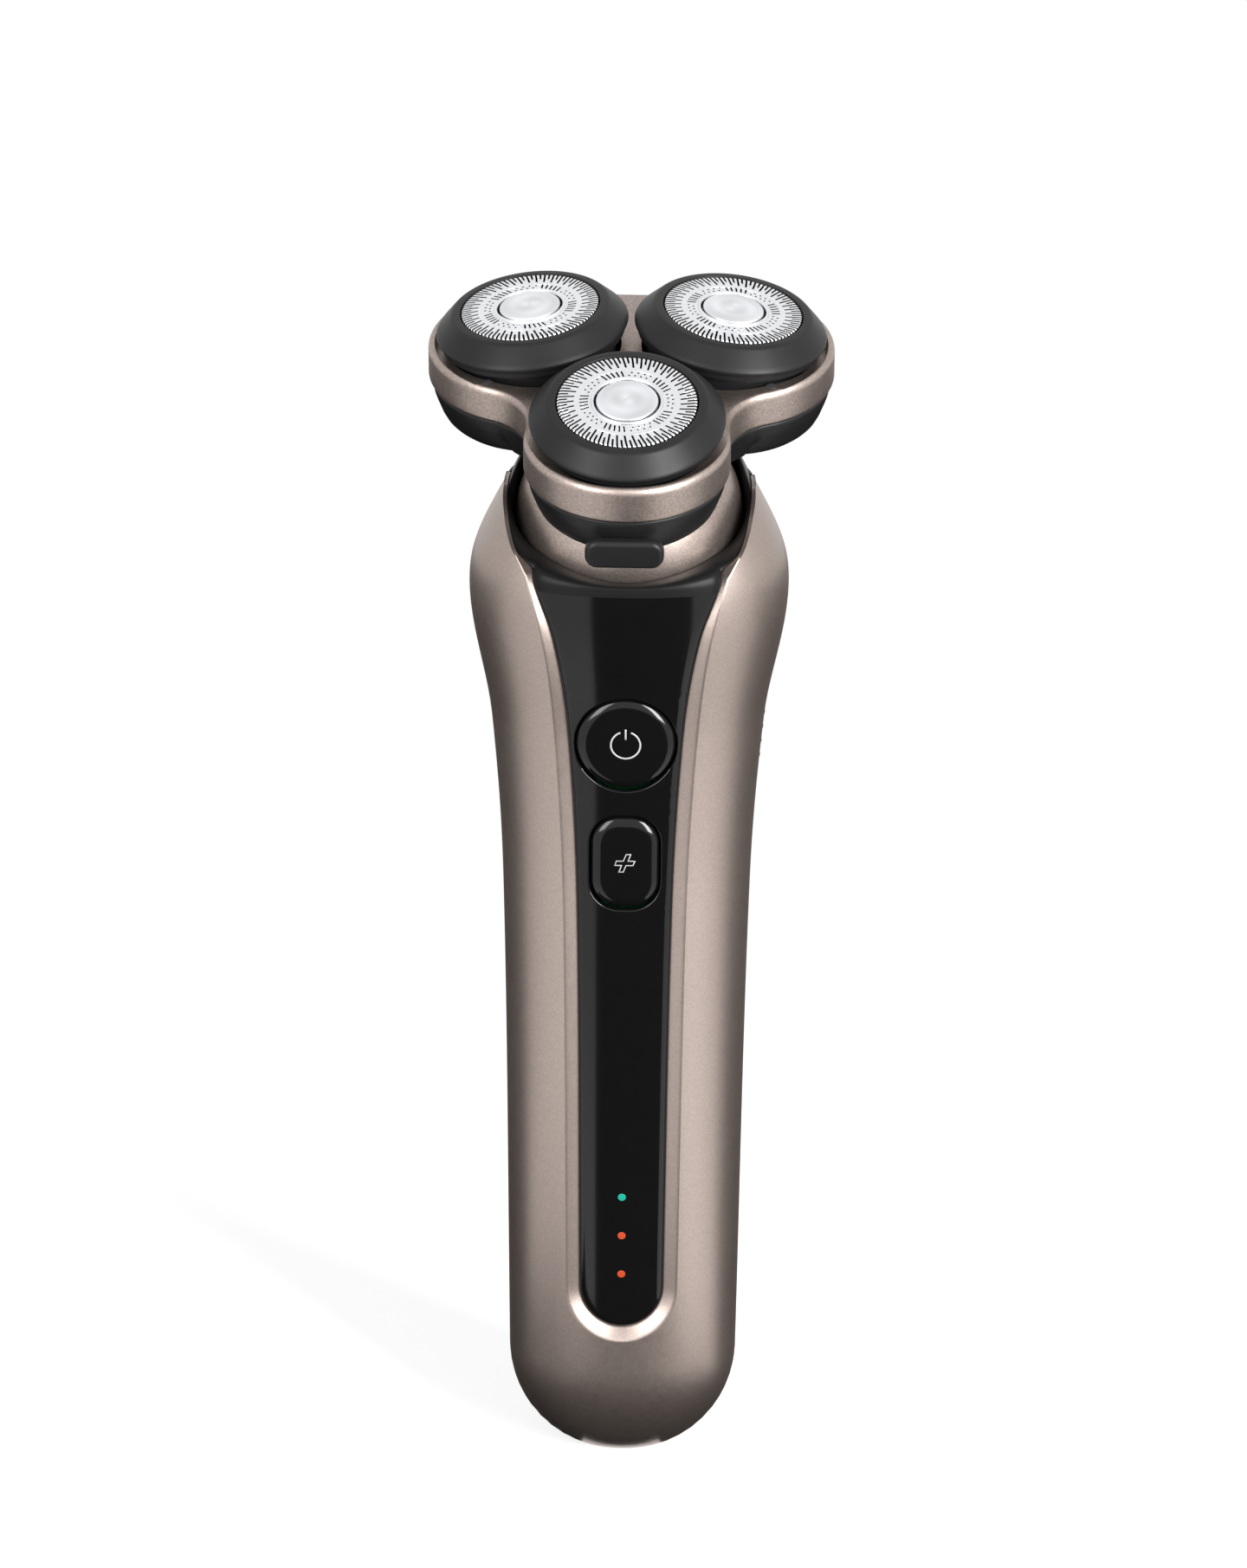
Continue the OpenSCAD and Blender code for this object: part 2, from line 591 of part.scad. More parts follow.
module charging_socket() color("dimgray") difference() {
    union() {
        cylinder(r = socket_outer_r, h = socket_bore_l + 4);
        translate([0, 0, 3]) cylinder(r = socket_outer_r + 1.6, h = socket_bore_l + 1);
    }
    translate([0, 0, -1]) cylinder(r = socket_bore_r, h = socket_bore_l + 1);
    for (s = [-1, 1]) translate([s * 1.3, 0, socket_bore_l - 1]) cylinder(r = 0.4, h = 6);
}

module socket_pins() color("gold") for (s = [-1, 1]) translate([s * 1.3, 0, socket_bore_l + 0.1])
    cylinder(r = 0.4, h = board_foot_h - 13 - socket_bore_l);

// ---- Motor ----------------------------------------------------------------

module motor_can() color("silver") translate([0, 0, motor_h]) difference() {
    cylinder(r = motor_r, h = motor_l);
    translate([0, 0, -1]) cylinder(r = motor_r - 0.8, h = motor_l);
    cylinder(r = shaft_r + run_gap, h = motor_l + 1);
}

module motor_endcap() color("white") translate([0, 0, motor_h]) difference() {
    cylinder(r = motor_r - 0.8, h = 2.2);
    translate([0, 0, 0.8]) cylinder(r = shaft_r + run_gap, h = 2);
}

module motor_rotor() color("darkgoldenrod") {
    translate([0, 0, motor_h + 1]) cylinder(r = shaft_r, h = neck_h - motor_h - 1 - drive_ball_r * 0.5);
    for (i = [0:2]) rotate([0, 0, 120 * i]) translate([0, 0, motor_h + 4]) {
        translate([0, -0.7, 0]) cube([motor_r - 2.6, 1.4, motor_l - 8]);
        intersection() {
            cylinder(r = motor_r - 1.5, h = motor_l - 8);
            translate([motor_r - 3.2, -2.6, 0]) cube([3, 5.2, motor_l - 8]);
        }
    }
}

module drive_ball() color("white") difference() {
    translate([0, 0, neck_h]) sphere(drive_ball_r);
    translate([0, 0, neck_h - 3]) cylinder(r = shaft_r, h = 3 - drive_ball_r * 0.5 + 1);
}

// ---- Head drive -----------------------------------------------------------

module at_unit(a) rotate([0, 0, a]) translate([unit_r, 0, face_h]) rotate([0, unit_lean, 0]) children();
module at_gear(a) rotate([0, 0, a]) translate([gear_r, 0, 0]) children();

tilt_depth = 7.4;
tip_depth = 6;
gear_r = unit_r - tip_depth * sin(unit_lean);
tip_h = face_h - tip_depth * cos(unit_lean);
case_floor = split_h - 4.8;
case_wall = 1;
gear_h = case_floor + 1.2;
cover_t = 1;
cover_h = split_h - 0.2 - cover_t;
module_size = 2 * gear_r / (sun_teeth + planet_teeth);
stalk_r = 3.2;

// Gear with straight-flanked teeth, one tooth on +X
module gear(teeth, t) {
    pitch_r = module_size * teeth / 2;
    tooth = 360 / teeth;
    tip = pitch_r + 0.72 * module_size;
    root = pitch_r - 1.05 * module_size;
    linear_extrude(t) polygon([for (i = [0:teeth - 1], p = [[root, -0.33], [tip, -0.11], [tip, 0.11],
        [root, 0.33]])
        [p[0] * cos((i + p[1]) * tooth), p[0] * sin((i + p[1]) * tooth)]]);
}

module sun_gear() color("white") in_head() {
    difference() {
        union() {
            translate([0, 0, gear_h]) gear(sun_teeth, gear_t);
            translate([0, 0, -1]) cylinder(r = stalk_r, h = gear_h + 1.5);
            translate([0, 0, gear_h + gear_t]) cylinder(r = 1.4, h = cover_h - gear_h - gear_t + 0.8);
        }
        translate([0, 0, -2]) cylinder(r = drive_ball_r + 0.4, h = 2 + drive_ball_r + 1);
    }
}

module driven_gear(a) {
    lead = (a + 360) % (360 / sun_teeth);
    at_gear(a) translate([0, 0, gear_h]) difference() {
        union() {
            rotate([0, 0, 180 + lead * sun_teeth / planet_teeth + 180 / planet_teeth]) gear(planet_teeth,
                gear_t);
            translate([0, 0, -0.9]) cylinder(r = 1.1, h = 1.5);
        }
        translate([0, 0, 0.7]) cylinder(r = spindle_r, h = gear_t);
    }
}

module gear_front() color("ivory") in_head() driven_gear(FRONT);
module gear_left() color("ivory") in_head() driven_gear(LEFT);
module gear_right() color("ivory") in_head() driven_gear(RIGHT);

tip_r = 1.4;
module spindle(a) at_gear(a) {
    translate([0, 0, gear_h + 0.7]) cylinder(r = spindle_r, h = tip_h - gear_h - 3.2);
    translate([0, 0, tip_h - 3]) cylinder(r = 0.9, h = 3);
    translate([0, 0, tip_h]) intersection() {
        sphere(tip_r);
        cube([2.2, 2.2, 3], center = true);
    }
}

module spindle_front() color("silver") in_head() spindle(FRONT);
module spindle_left() color("silver") in_head() spindle(LEFT);
module spindle_right() color("silver") in_head() spindle(RIGHT);

// Coil spring of n turns, as a swept polyhedron ring
module coil(r, wire, h, turns) {
    steps = 10 * turns;
    pts = [for (i = [0:steps], k = [0:5]) let (a = 36 * i, w = 60 * k)
        [(r + wire * cos(w)) * cos(a), (r + wire * cos(w)) * sin(a), wire + (h - 2 * wire) * i / steps
            + wire * sin(w)]];
    polyhedron(pts, concat(
        [for (i = [0:steps - 1], k = [0:5], t = [0, 1]) let (a = 6 * i + k, b = 6 * i + (k + 1) % 6)
            t == 0 ? [a, b, b + 6] : [a, b + 6, a + 6]],
        [[for (k = [5:-1:0]) k]], [[for (k = [0:5]) 6 * steps + k]]));
}

spring_foot = cover_h + cover_t + 0.9;
module spindle_springs() color("gold") in_head() for (a = [FRONT, LEFT, RIGHT])
    at_gear(a) translate([0, 0, spring_foot]) coil(spindle_r + 0.5, 0.25, 2.2, 3);

pocket_r = planet_teeth * module_size / 2 + module_size;

module gear_case() color("dimgray") in_head() difference() {
    union() {
        for (a = [FRONT, LEFT, RIGHT]) at_gear(a) translate([0, 0, case_floor])
            cylinder(r = pocket_r + case_wall, h = cover_h - case_floor);
        translate([0, 0, case_floor]) cylinder(r = pocket_r, h = cover_h - case_floor);
    }
    for (a = [FRONT, LEFT, RIGHT]) at_gear(a) {
        translate([0, 0, case_floor + 1]) cylinder(r = pocket_r, h = 8);
        translate([0, 0, case_floor - 1]) cylinder(r = 1.1 + run_gap, h = 4);
    }
    translate([0, 0, case_floor + 1]) cylinder(r = pocket_r - 2, h = 8);
    translate([0, 0, case_floor - 1]) cylinder(r = stalk_r + run_gap, h = 4);
}

hinge_b = 22.4;
hinge_h = face_h - 8.4;
hinge_r = 1.7;
hinge_pin_r = 0.8;

module gear_cover() color("gray") in_head() {
    difference() {
        union() {
            for (a = [FRONT, LEFT, RIGHT]) at_gear(a) translate([0, 0, cover_h])
                cylinder(r = pocket_r + case_wall, h = cover_t);
            translate([0, 0, cover_h]) cylinder(r = pocket_r, h = cover_t);
            for (a = [FRONT, LEFT, RIGHT]) at_gear(a) translate([0, 0, cover_h])
                cylinder(r = spindle_r + 1.2, h = cover_t + 0.9);
            translate([-2.4, 12, cover_h]) cube([4.8, hinge_b - 12 + hinge_r, cover_t]);
            translate([-2.4, hinge_b - hinge_r, cover_h]) cube([4.8, 2 * hinge_r, hinge_h - cover_h]);
            translate([0, hinge_b, hinge_h]) rotate([0, 90, 0])
                cylinder(r = hinge_r, h = 4.8, center = true);
        }
        for (a = [FRONT, LEFT, RIGHT]) at_gear(a) translate([0, 0, cover_h - 1])
            cylinder(r = spindle_r + run_gap, h = 6);
        translate([0, 0, cover_h - 1]) cylinder(r = 1.4 + run_gap, h = 4);
        translate([0, hinge_b, hinge_h]) rotate([0, 90, 0]) cylinder(r = hinge_pin_r + run_gap, h = 8,
            center = true);
    }
}

// ---- Head outline ---------------------------------------------------------

lobe_angles = [FRONT, RIGHT, LEFT];
function wrap(a) = a > 180 ? wrap(a - 360) : a <= -180 ? wrap(a + 360) : a;
// Centre distance of the hollow that blends two lobes
function hollow_at(r) = unit_r / 2 + sqrt(pow(lobe_r + r, 2) - pow(unit_r * sin(60), 2));
// Turn from a lobe's direction to where its blend with the hollow starts
function blend_turn(r) = let (f = hollow_at(r), k = lobe_r / (lobe_r + r),
    x = unit_r + (f * cos(60) - unit_r) * k, y = f * sin(60) * k) atan2(y, x);

// Distance of the head's outline from its axis in direction a, grown by g
function outline(a, g) = let (
    lobe = min([for (l = lobe_angles) abs(wrap(a - l))]),
    r = abs(wrap(a - 90)) < 60 ? rear_hollow_r : hollow_r,
    d = wrap(a - (abs(wrap(a - 90)) < 60 ? 90 : abs(wrap(a + 30)) < 60 ? -30 : 210)))
    lobe < blend_turn(r)
    ? unit_r * cos(lobe) + sqrt(pow(lobe_r + g, 2) - pow(unit_r * sin(lobe), 2))
    : hollow_at(r) * cos(d) - sqrt(max(0, pow(r - g, 2) - pow(hollow_at(r) * sin(d), 2)));

outline_n = 84;
function level(h, g, g_front, low, shift = 0) = [for (i = [0:outline_n - 1])
    let (a = 360 * (i + shift) / outline_n,
    f = ease(1 - abs(wrap(a - FRONT)) / 26), r = max(low, outline(a, mix(g, g_front, f))))
    [r * cos(a), r * sin(a), h]];

// Plate that follows the head's outline between two heights
module outline_plate(low_h, high_h, g) level_skin([for (h = [low_h, high_h]) level(h, g, g, 5, 0.5)]);

// Head shell from its foot up: [rise, inset at the sides, inset at the front]
skirt = [[0, -7.6, -7], [0.4, -5.6, -3.8], [1.1, -3.7, -2.6], [1.9, -2.4, -2.1], [2.9, -1.8, -1.6],
    [3.9, -1.4, -1.3], [5.5, -0.8, -0.8], [split_h - 0.2 - ball_top, -0.5, -0.5]];
skirt_foot_r = 12.5;

module head_shell() color(soft) in_head() difference() {
    level_skin([for (s = skirt) level(ball_top + s[0], s[1], s[2], skirt_foot_r)]);
    for (a = [FRONT, LEFT, RIGHT]) at_gear(a) translate([0, 0, case_floor])
        cylinder(r = pocket_r + case_wall + 0.05, h = 10);
    translate([0, 0, case_floor]) cylinder(r = pocket_r + 0.05, h = 10);
    translate([0, 0, ball_top - 1]) cylinder(r = stalk_r + 0.6, h = split_h - ball_top + 1);
    translate([-2.5, 10, cover_h]) cube([5, hinge_b - 10 + hinge_r + 0.1, 4]);
    translate([-latch_stem_w / 2 - 0.2, latch_b, latch_h - 1.6]) cube([latch_stem_w + 0.4, 8, 2]);
    translate([0, latch_b + latch_d + latch_travel + 0.1, latch_h]) rotate([90, 0, 0])
        linear_extrude(8) pill(latch_w + 0.5, latch_t + 0.5);
}

latch_w = 11.6;
latch_t = 4.6;
latch_h = split_h - 5.1;
latch_b = -33.9;
latch_d = 2;
latch_stem_w = 5;
latch_travel = 0.6;

module release_latch() color(soft) in_head() translate([0, latch_b, latch_h]) {
    rotate([-90, 0, 0]) linear_extrude(latch_d) pill(latch_w, latch_t);
    translate([-latch_stem_w / 2, latch_d - 0.5, -1.4]) cube([latch_stem_w, 3, 1.6]);
}

module latch_spring() color("gold") in_head() translate([0, latch_b + latch_d + 2.5 + 0.05, latch_h - 0.6])
    rotate([-90, 0, 0]) coil(0.6, 0.12, 1.3, 3);

module head_frame() color(taupe) in_head() difference() {
    level_skin([level(split_h, -0.5, -0.5, 5), level(split_h + 0.6, 0, 0, 5),
        level(frame_top_h - 1.2, 0, 0, 5),
        level(frame_top_h - 0.4, -0.15, -0.15, 5), level(frame_top_h, -0.5, -0.5, 5)]);
    for (a = [FRONT, LEFT, RIGHT]) at_unit(a) {
        rotate([0, 0, 60]) {
            translate([0, 0, -5.9]) cylinder(r = ring_r + 0.5, h = 12);
            translate([0, 0, -14]) cylinder(r = sleeve_r + 0.9, h = 12);
        }
        for (s = [-1, 1]) translate([0, s * lug_at, -tilt_depth]) rotate([90, 0, 0])
            cylinder(r = lug_r + 0.15, h = lug_t + 0.3, center = true);
    }
    outline_plate(split_h - 1, carrier_top_h + 0.05, carrier_inset + 0.12);
    translate([-6.4, hinge_b - 2.1, split_h - 1]) cube([12.8, 6, hinge_h + 2 - split_h + 1]);
    translate([-6.4, 12, split_h - 1]) cube([12.8, hinge_b - 12, carrier_top_h - split_h + 1.05]);
}

// ---- Shaving units --------------------------------------------------------

sleeve_r = 12.1;
carrier_top_h = hinge_h;
carrier_t = 1.2;
carrier_inset = -1.6;
trunnion_r = 0.8;
lug_r = 1.5;
lug_t = 1.3;
lug_at = sleeve_r + 0.65 + lug_t / 2;

module unit_carrier() color("dimgray") in_head() difference() {
    union() {
        outline_plate(carrier_top_h - carrier_t, carrier_top_h, carrier_inset);
        for (a = [FRONT, LEFT, RIGHT]) at_unit(a) for (s = [-1, 1]) translate([0, s * lug_at, -tilt_depth])
            rotate([90, 0, 0]) cylinder(r = lug_r, h = lug_t, center = true);
        for (s = [-1, 1]) {
            translate([s * 4.4 - 1.6, 12, carrier_top_h - carrier_t]) cube([3.2, hinge_b - 12, carrier_t]);
            translate([s * 4.4, hinge_b, hinge_h]) rotate([0, 90, 0])
                cylinder(r = hinge_r, h = 3.2, center = true);
        }
    }
    for (a = [FRONT, LEFT, RIGHT]) at_unit(a) {
        rotate([0, 0, 60]) translate([0, 0, -16]) cylinder(r = sleeve_r + 0.5, h = 14);
        translate([0, 0, -tilt_depth]) rotate([90, 0, 0]) cylinder(r = trunnion_r + run_gap, h = 40,
            center = true);
    }
    translate([0, hinge_b, hinge_h]) rotate([0, 90, 0]) cylinder(r = hinge_pin_r, h = 20, center = true);
    translate([-2.6, hinge_b - hinge_r - 0.3, split_h]) cube([5.2, 4, 4]);
}

module hinge_pin() color("silver") in_head() translate([0, hinge_b, hinge_h]) rotate([0, 90, 0])
    cylinder(r = hinge_pin_r, h = 12, center = true);

module ring() {
    rotate_extrude($fn = 72) polygon([[guard_r + 0.15, -0.3], [guard_r + 0.45, 0], [ring_r - 2.4, -0.1],
        [ring_r - 1.9, -0.4],
        [ring_r - 0.25, -2.7], [ring_r, -3.3], [ring_r - 0.2, -4.1], [ring_r - 0.7, -4.3],
            [sleeve_r, -4.3], [sleeve_r, -8.4],
        [sleeve_r - 0.9, -8.4], [sleeve_r - 0.9, -3.4], [guard_r + 0.15, -3.4]]);
    for (s = [-1, 1]) translate([0, 0, -tilt_depth]) rotate([-90 * s, 0, 0])
        translate([0, 0, sleeve_r - 0.5])
        cylinder(r = trunnion_r, h = 14 - sleeve_r + 0.5);
}

module ring_front() color(soft) in_head() at_unit(FRONT) ring();
module ring_left() color(soft) in_head() at_unit(LEFT) ring();
module ring_right() color(soft) in_head() at_unit(RIGHT) ring();

track_in = 7.8;
short_in = 8.9;
inner_track = [5.75, 7.05];
group_n = 5;

// One radial slot from r0 to r1 in direction a, leaning by lean degrees
module slot(a, r0, r1, lean) rotate([0, 0, a]) translate([(r0 + r1) / 2, 0]) rotate([0, 0, lean])
    square([r1 - r0, slot_w], center = true);

module guard() {
    translate([0, 0, -guard_t]) linear_extrude(guard_t) difference() {
        circle(guard_r, $fn = 96);
        for (i = [0:outer_slots - 1])
            slot(360 * i / outer_slots, i % 2 == 0 ? track_in : short_in, guard_r - 0.45, 10);
        for (g = [0:group_n - 1], i = [0:inner_slots - 1])
            slot(72 * g + 6.4 * (i - (inner_slots - 1) / 2), inner_track[0], inner_track[1], 10);
        for (g = [0:group_n - 1], i = [-3:4]) rotate([0, 0, 72 * g + 36 + 4.2 * (i - 0.5)])
            translate([i % 2 == 0 ? 6.05 : 6.75, 0]) circle(slot_w * 0.7, $fn = 8);
    }
    rotate_extrude($fn = 96) polygon([[guard_r - 0.5, -guard_t], [guard_r, -guard_t], [guard_r, -3.45],
        [guard_r + 0.7, -3.45], [guard_r + 0.7, -4.1], [guard_r - 0.5, -4.1]]);
    rotate_extrude($fn = 96) polygon([[7.3, 0], [7.6, 0], [7.45, 0.15]]);
    rotate_extrude($fn = 96) polygon([[cap_r + 0.35, 0], [cap_r + 0.85, 0], [cap_r + 0.7, 0.3],
        [cap_r + 0.5, 0.3]]);
}

module guard_front() color(steel) in_head() at_unit(FRONT) guard();
module guard_left() color(steel) in_head() at_unit(LEFT) guard();
module guard_right() color(steel) in_head() at_unit(RIGHT) guard();

module cap() rotate_extrude($fn = 72) polygon([[0, 0], [cap_r + 0.15, 0], [cap_r + 0.15, 0.1],
    [cap_r - 0.1, 0.35],
    [cap_r * 0.6, 0.45], [0, 0.5]]);

module cap_front() color("gainsboro") in_head() at_unit(FRONT) cap();
module cap_left() color("gainsboro") in_head() at_unit(LEFT) cap();
module cap_right() color("gainsboro") in_head() at_unit(RIGHT) cap();

socket_clear = 0.6;
module cutter() {
    top = -guard_t - blade_gap;
    difference() {
        union() {
            translate([0, 0, -3.2]) cylinder(r = 9.2, h = 0.8);
            translate([0, 0, tip_low]) cylinder(r = tip_r + socket_clear + 1, h = -3.2 - tip_low + 0.4);
        }
        translate([0, 0, tip_low - 1]) cylinder(r = tip_r + socket_clear, h = -3.6 - tip_low + 1);
    }
    for (i = [0:blade_count - 1]) rotate([0, 0, 360 * i / blade_count]) {
        translate([8.6, 0, -2.5]) rotate([18, 0, 0]) translate([-0.9, -0.2, 0]) cube([1.9, 0.4, top + 2.4]);
        translate([6.4, 0, -2.5]) rotate([18, 0, 0]) translate([-0.75, -0.2, 0])
            cube([1.5, 0.4, top + 2.4]);
    }
}
tip_low = -7.6;

module cutter_front() color("slategray") in_head() at_unit(FRONT) cutter();
module cutter_left() color("slategray") in_head() at_unit(LEFT) cutter();
module cutter_right() color("slategray") in_head() at_unit(RIGHT) cutter();

// ---- Buttons --------------------------------------------------------------

function switch_reach(z) = board_y - switch_t - panel_y(z) - button_travel - 0.15;
cap_t = 1.6;

module power_button() color(gloss) on_panel(power_h) {
    r = power_d / 2;
    rotate_extrude() polygon([[0, -cap_t], [r, -cap_t], [r, -0.8], [r - 0.12, -0.45], [r - 0.4, -0.15],
        [r - 0.8, 0.02], [r - 1.2, 0.05], [0, -0.05]]);
    mirror([0, 0, 1]) cylinder(r = 1.6, h = switch_reach(power_h));
}

module boost_button() color(gloss) on_panel(boost_h) {
    translate([0, 0, -cap_t]) linear_extrude(cap_t - 0.7) pill(boost_w, boost_l);
    hull() {
        translate([0, 0, -0.75]) linear_extrude(0.05) pill(boost_w, boost_l);
        translate([0, 0, -0.25]) linear_extrude(0.05) pill(boost_w - 0.5, boost_l - 0.5);
        translate([0, 0, -0.05]) linear_extrude(0.1) pill(boost_w - 1.6, boost_l - 1.6);
    }
    mirror([0, 0, 1]) cylinder(r = 1.6, h = switch_reach(boost_h));
}

front_shell();
rear_shell();
rear_grip();
front_panel();
neck_collar();
chassis();
swivel_fork();
deck_screws();
circuit_board();
tact_switches();
light_guides();
battery_cell();
cell_tabs();
charging_socket();
socket_pins();
motor_can();
motor_endcap();
power_button();
boost_button();
motor_rotor();
drive_ball();
gimbal_ring();
neck_ball();
head_shell();
gear_case();
gear_cover();
sun_gear();
gear_front();
gear_left();
gear_right();
spindle_front();
spindle_left();
spindle_right();
spindle_springs();
release_latch();
latch_spring();
head_frame();
unit_carrier();
hinge_pin();
ring_front();
ring_left();
ring_right();
guard_front();
guard_left();
guard_right();
cap_front();
cap_left();
cap_right();
cutter_front();
cutter_left();
cutter_right();
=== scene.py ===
"""Visible skin, finishes and studio for a cordless rotary shaver, built over its fixed frame."""

import json
from math import asin, atan2, cos, degrees, hypot, log, pi, radians, sin, sqrt, tan

import bmesh
import bpy
from bpy.props import FloatProperty, FloatVectorProperty, IntProperty, PointerProperty
from mathutils import Matrix, Vector


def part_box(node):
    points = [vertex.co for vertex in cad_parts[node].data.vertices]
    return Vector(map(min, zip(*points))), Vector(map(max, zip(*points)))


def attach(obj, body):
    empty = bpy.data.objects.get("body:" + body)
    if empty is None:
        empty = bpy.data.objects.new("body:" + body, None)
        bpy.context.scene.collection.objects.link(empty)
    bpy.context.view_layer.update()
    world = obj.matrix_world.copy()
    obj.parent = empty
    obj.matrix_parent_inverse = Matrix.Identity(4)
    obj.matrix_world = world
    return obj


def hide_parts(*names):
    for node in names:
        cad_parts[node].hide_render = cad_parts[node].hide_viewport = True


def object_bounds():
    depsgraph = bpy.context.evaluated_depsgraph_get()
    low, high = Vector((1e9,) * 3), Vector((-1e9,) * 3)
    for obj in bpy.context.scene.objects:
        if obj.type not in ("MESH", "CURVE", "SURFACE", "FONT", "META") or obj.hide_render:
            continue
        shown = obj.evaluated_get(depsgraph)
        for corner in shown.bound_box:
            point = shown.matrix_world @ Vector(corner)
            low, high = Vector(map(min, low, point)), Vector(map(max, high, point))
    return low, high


bl_info = {
    "name": "Rotary Shaver",
    "version": (1, 0, 0),
    "blender": (4, 5, 0),
    "location": "3D View > Sidebar > Shaver",
    "description": "Builds the skin, finishes and studio of a cordless rotary shaver",
    "category": "Object",
}

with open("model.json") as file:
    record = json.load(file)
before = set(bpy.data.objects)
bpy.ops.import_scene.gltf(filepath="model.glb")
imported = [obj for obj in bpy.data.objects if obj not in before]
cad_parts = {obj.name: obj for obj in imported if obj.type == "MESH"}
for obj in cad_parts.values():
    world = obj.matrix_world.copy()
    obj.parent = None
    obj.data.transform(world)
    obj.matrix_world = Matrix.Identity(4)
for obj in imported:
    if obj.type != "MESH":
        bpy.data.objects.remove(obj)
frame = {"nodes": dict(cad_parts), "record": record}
cad_box = [list(corner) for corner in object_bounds()]

# Bearing of each shaving unit round the head's axis, in degrees.
UNITS = {"front": -90.0, "left": 150.0, "right": 30.0}
# Radius of the drive ball, whose centre is the swivel centre.
DRIVE_BALL_RADIUS = 0.0021
# The placement that moves nothing.
HERE = Matrix.Identity(4)


# ---- Settings


def length(name, description, default):
    """A size in metres for a property group."""
    return FloatProperty(
        name=name, description=description, default=default, unit="LENGTH", precision=5
    )


def turn(name, description, angle):
    """An angle for a property group, given in degrees."""
    return FloatProperty(
        name=name, description=description, default=radians(angle), unit="ROTATION"
    )


def colour(name, description, default):
    """A linear colour for a property group."""
    return FloatVectorProperty(
        name=name, description=description, default=default, subtype="COLOR", size=3, min=0, max=1
    )


class HandleSettings(bpy.types.PropertyGroup):
    """Sizes of the casing, front panel and rear grip."""

    heel_height: length("Heel Height", "Height of the rounded lower end", 0.017)
    heel_half_width: length("Heel Half Width", "Half width above the rounded end", 0.01775)
    heel_half_depth: length("Heel Half Depth", "Half depth above the rounded end", 0.0142)
    foot_radius: length("Foot Radius", "Half width of the flat round the socket", 0.0054)
    parting_angle: turn("Parting Angle", "Angle from the front to the joint of the shells", 101)
    panel_foot: length("Panel Foot", "Height of the lower end of the lip", 0.023)
    lip_width: length("Lip Width", "Width of the bevelled lip round the panel", 0.0019)
    lip_depth: length("Lip Depth", "Depth of the bevelled lip", 0.0015)
    panel_sink: length("Panel Sink", "How far the panel lies below the casing", 0.0004)
    grip_thickness: length("Grip Thickness", "Thickness of the rubber grip", 0.0012)
    rib_count: IntProperty(name="Ribs", description="Ribs across the grip", default=11, min=1)
    rib_pitch: length("Rib Pitch", "Spacing of the ribs", 0.0023)
    rib_rise: length("Rib Rise", "Height of the ribs", 0.0008)


class NeckSettings(bpy.types.PropertyGroup):
    """Sizes of the swivel neck."""

    pivot_height: length(
        "Pivot Height", "Height of the swivel centre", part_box("drive_ball")[1].z - DRIVE_BALL_RADIUS
    )
    tilt: turn("Head Tilt", "Forward lean of the head", 15)
    ball_radius: length("Ball Radius", "Radius of the neck ball", 0.0173)
    ball_gap: length("Ball Gap", "Gap between ball and collar", 0.00035)


class HeadSettings(bpy.types.PropertyGroup):
    """Sizes of the head and its shaving units."""

    unit_radius: length("Unit Radius", "Distance of each unit from the head axis", 0.0176)
    unit_lean: turn("Unit Lean", "Outward lean of each unit", 7.5)
    face_height: length("Face Height", "Height of the shaving faces above the swivel", 0.0315)
    lobe_radius: length("Lobe Radius", "Radius of the head's lobes", 0.0153)
    hollow_radius: length("Hollow Radius", "Radius of the hollows beside the front lobe", 0.009)
    rear_radius: length("Rear Radius", "Radius of the hollow at the rear", 0.09)
    split_height: length("Split Height", "Height of the joint of frame and shell", 0.020)
    top_height: length("Top Height", "Height of the top of the band", 0.0256)
    ring_radius: length("Ring Radius", "Outer radius of the soft rings", 0.0144)
    guard_radius: length("Guard Radius", "Outer radius of the metal guards", 0.0104)
    cap_radius: length("Cap Radius", "Radius of the centre caps", 0.0046)
    slot_count: IntProperty(name="Slots", description="Outer slots of a guard", default=90, min=12)
    slot_width: length("Slot Width", "Width of a slot", 0.0003)


class KeySettings(bpy.types.PropertyGroup):
    """Sizes of the keys, signs and indicator lights."""

    power_radius: length("Power Radius", "Radius of the power key", 0.0075)
    power_height: length("Power Height", "Height of the power key's centre", 0.122)
    boost_width: length("Boost Width", "Width of the boost key", 0.0104)
    boost_length: length("Boost Length", "Length of the boost key", 0.015)
    boost_height: length("Boost Height", "Height of the boost key's centre", 0.1025)
    key_gap: length("Key Gap", "Gap round each key", 0.00025)
    light_radius: length("Light Radius", "Radius of each indicator light", 0.00075)
    light_height: length("Light Height", "Height of the lowest light", 0.0342)
    light_pitch: length("Light Pitch", "Spacing of the lights", 0.00647)


class FinishSettings(bpy.types.PropertyGroup):
    """Colours of the finishes."""

    lacquer: colour("Lacquer", "Taupe lacquer of casing and head", (0.36, 0.297, 0.266))
    gloss: colour("Gloss", "Gloss black of the panel and keys", (0.004, 0.004, 0.0042))
    satin: colour("Satin", "Satin black of collar, head shell and rear", (0.009, 0.009, 0.0094))
    rubber: colour("Rubber", "Soft black of rings and grip", (0.009, 0.009, 0.0093))
    steel: colour("Steel", "Steel of the guards", (0.8, 0.81, 0.83))
    sign: colour("Sign", "Printed signs on the keys", (0.38, 0.38, 0.38))
    ready: colour("Ready Light", "Upper indicator light", (0.006, 0.22, 0.165))
    charge: colour("Charge Light", "Lower indicator lights", (0.33, 0.04, 0.013))


# ---- Curves and places


def mix(start, end, share):
    """Value or vector that share of the way from start to end."""
    return start + (end - start) * share


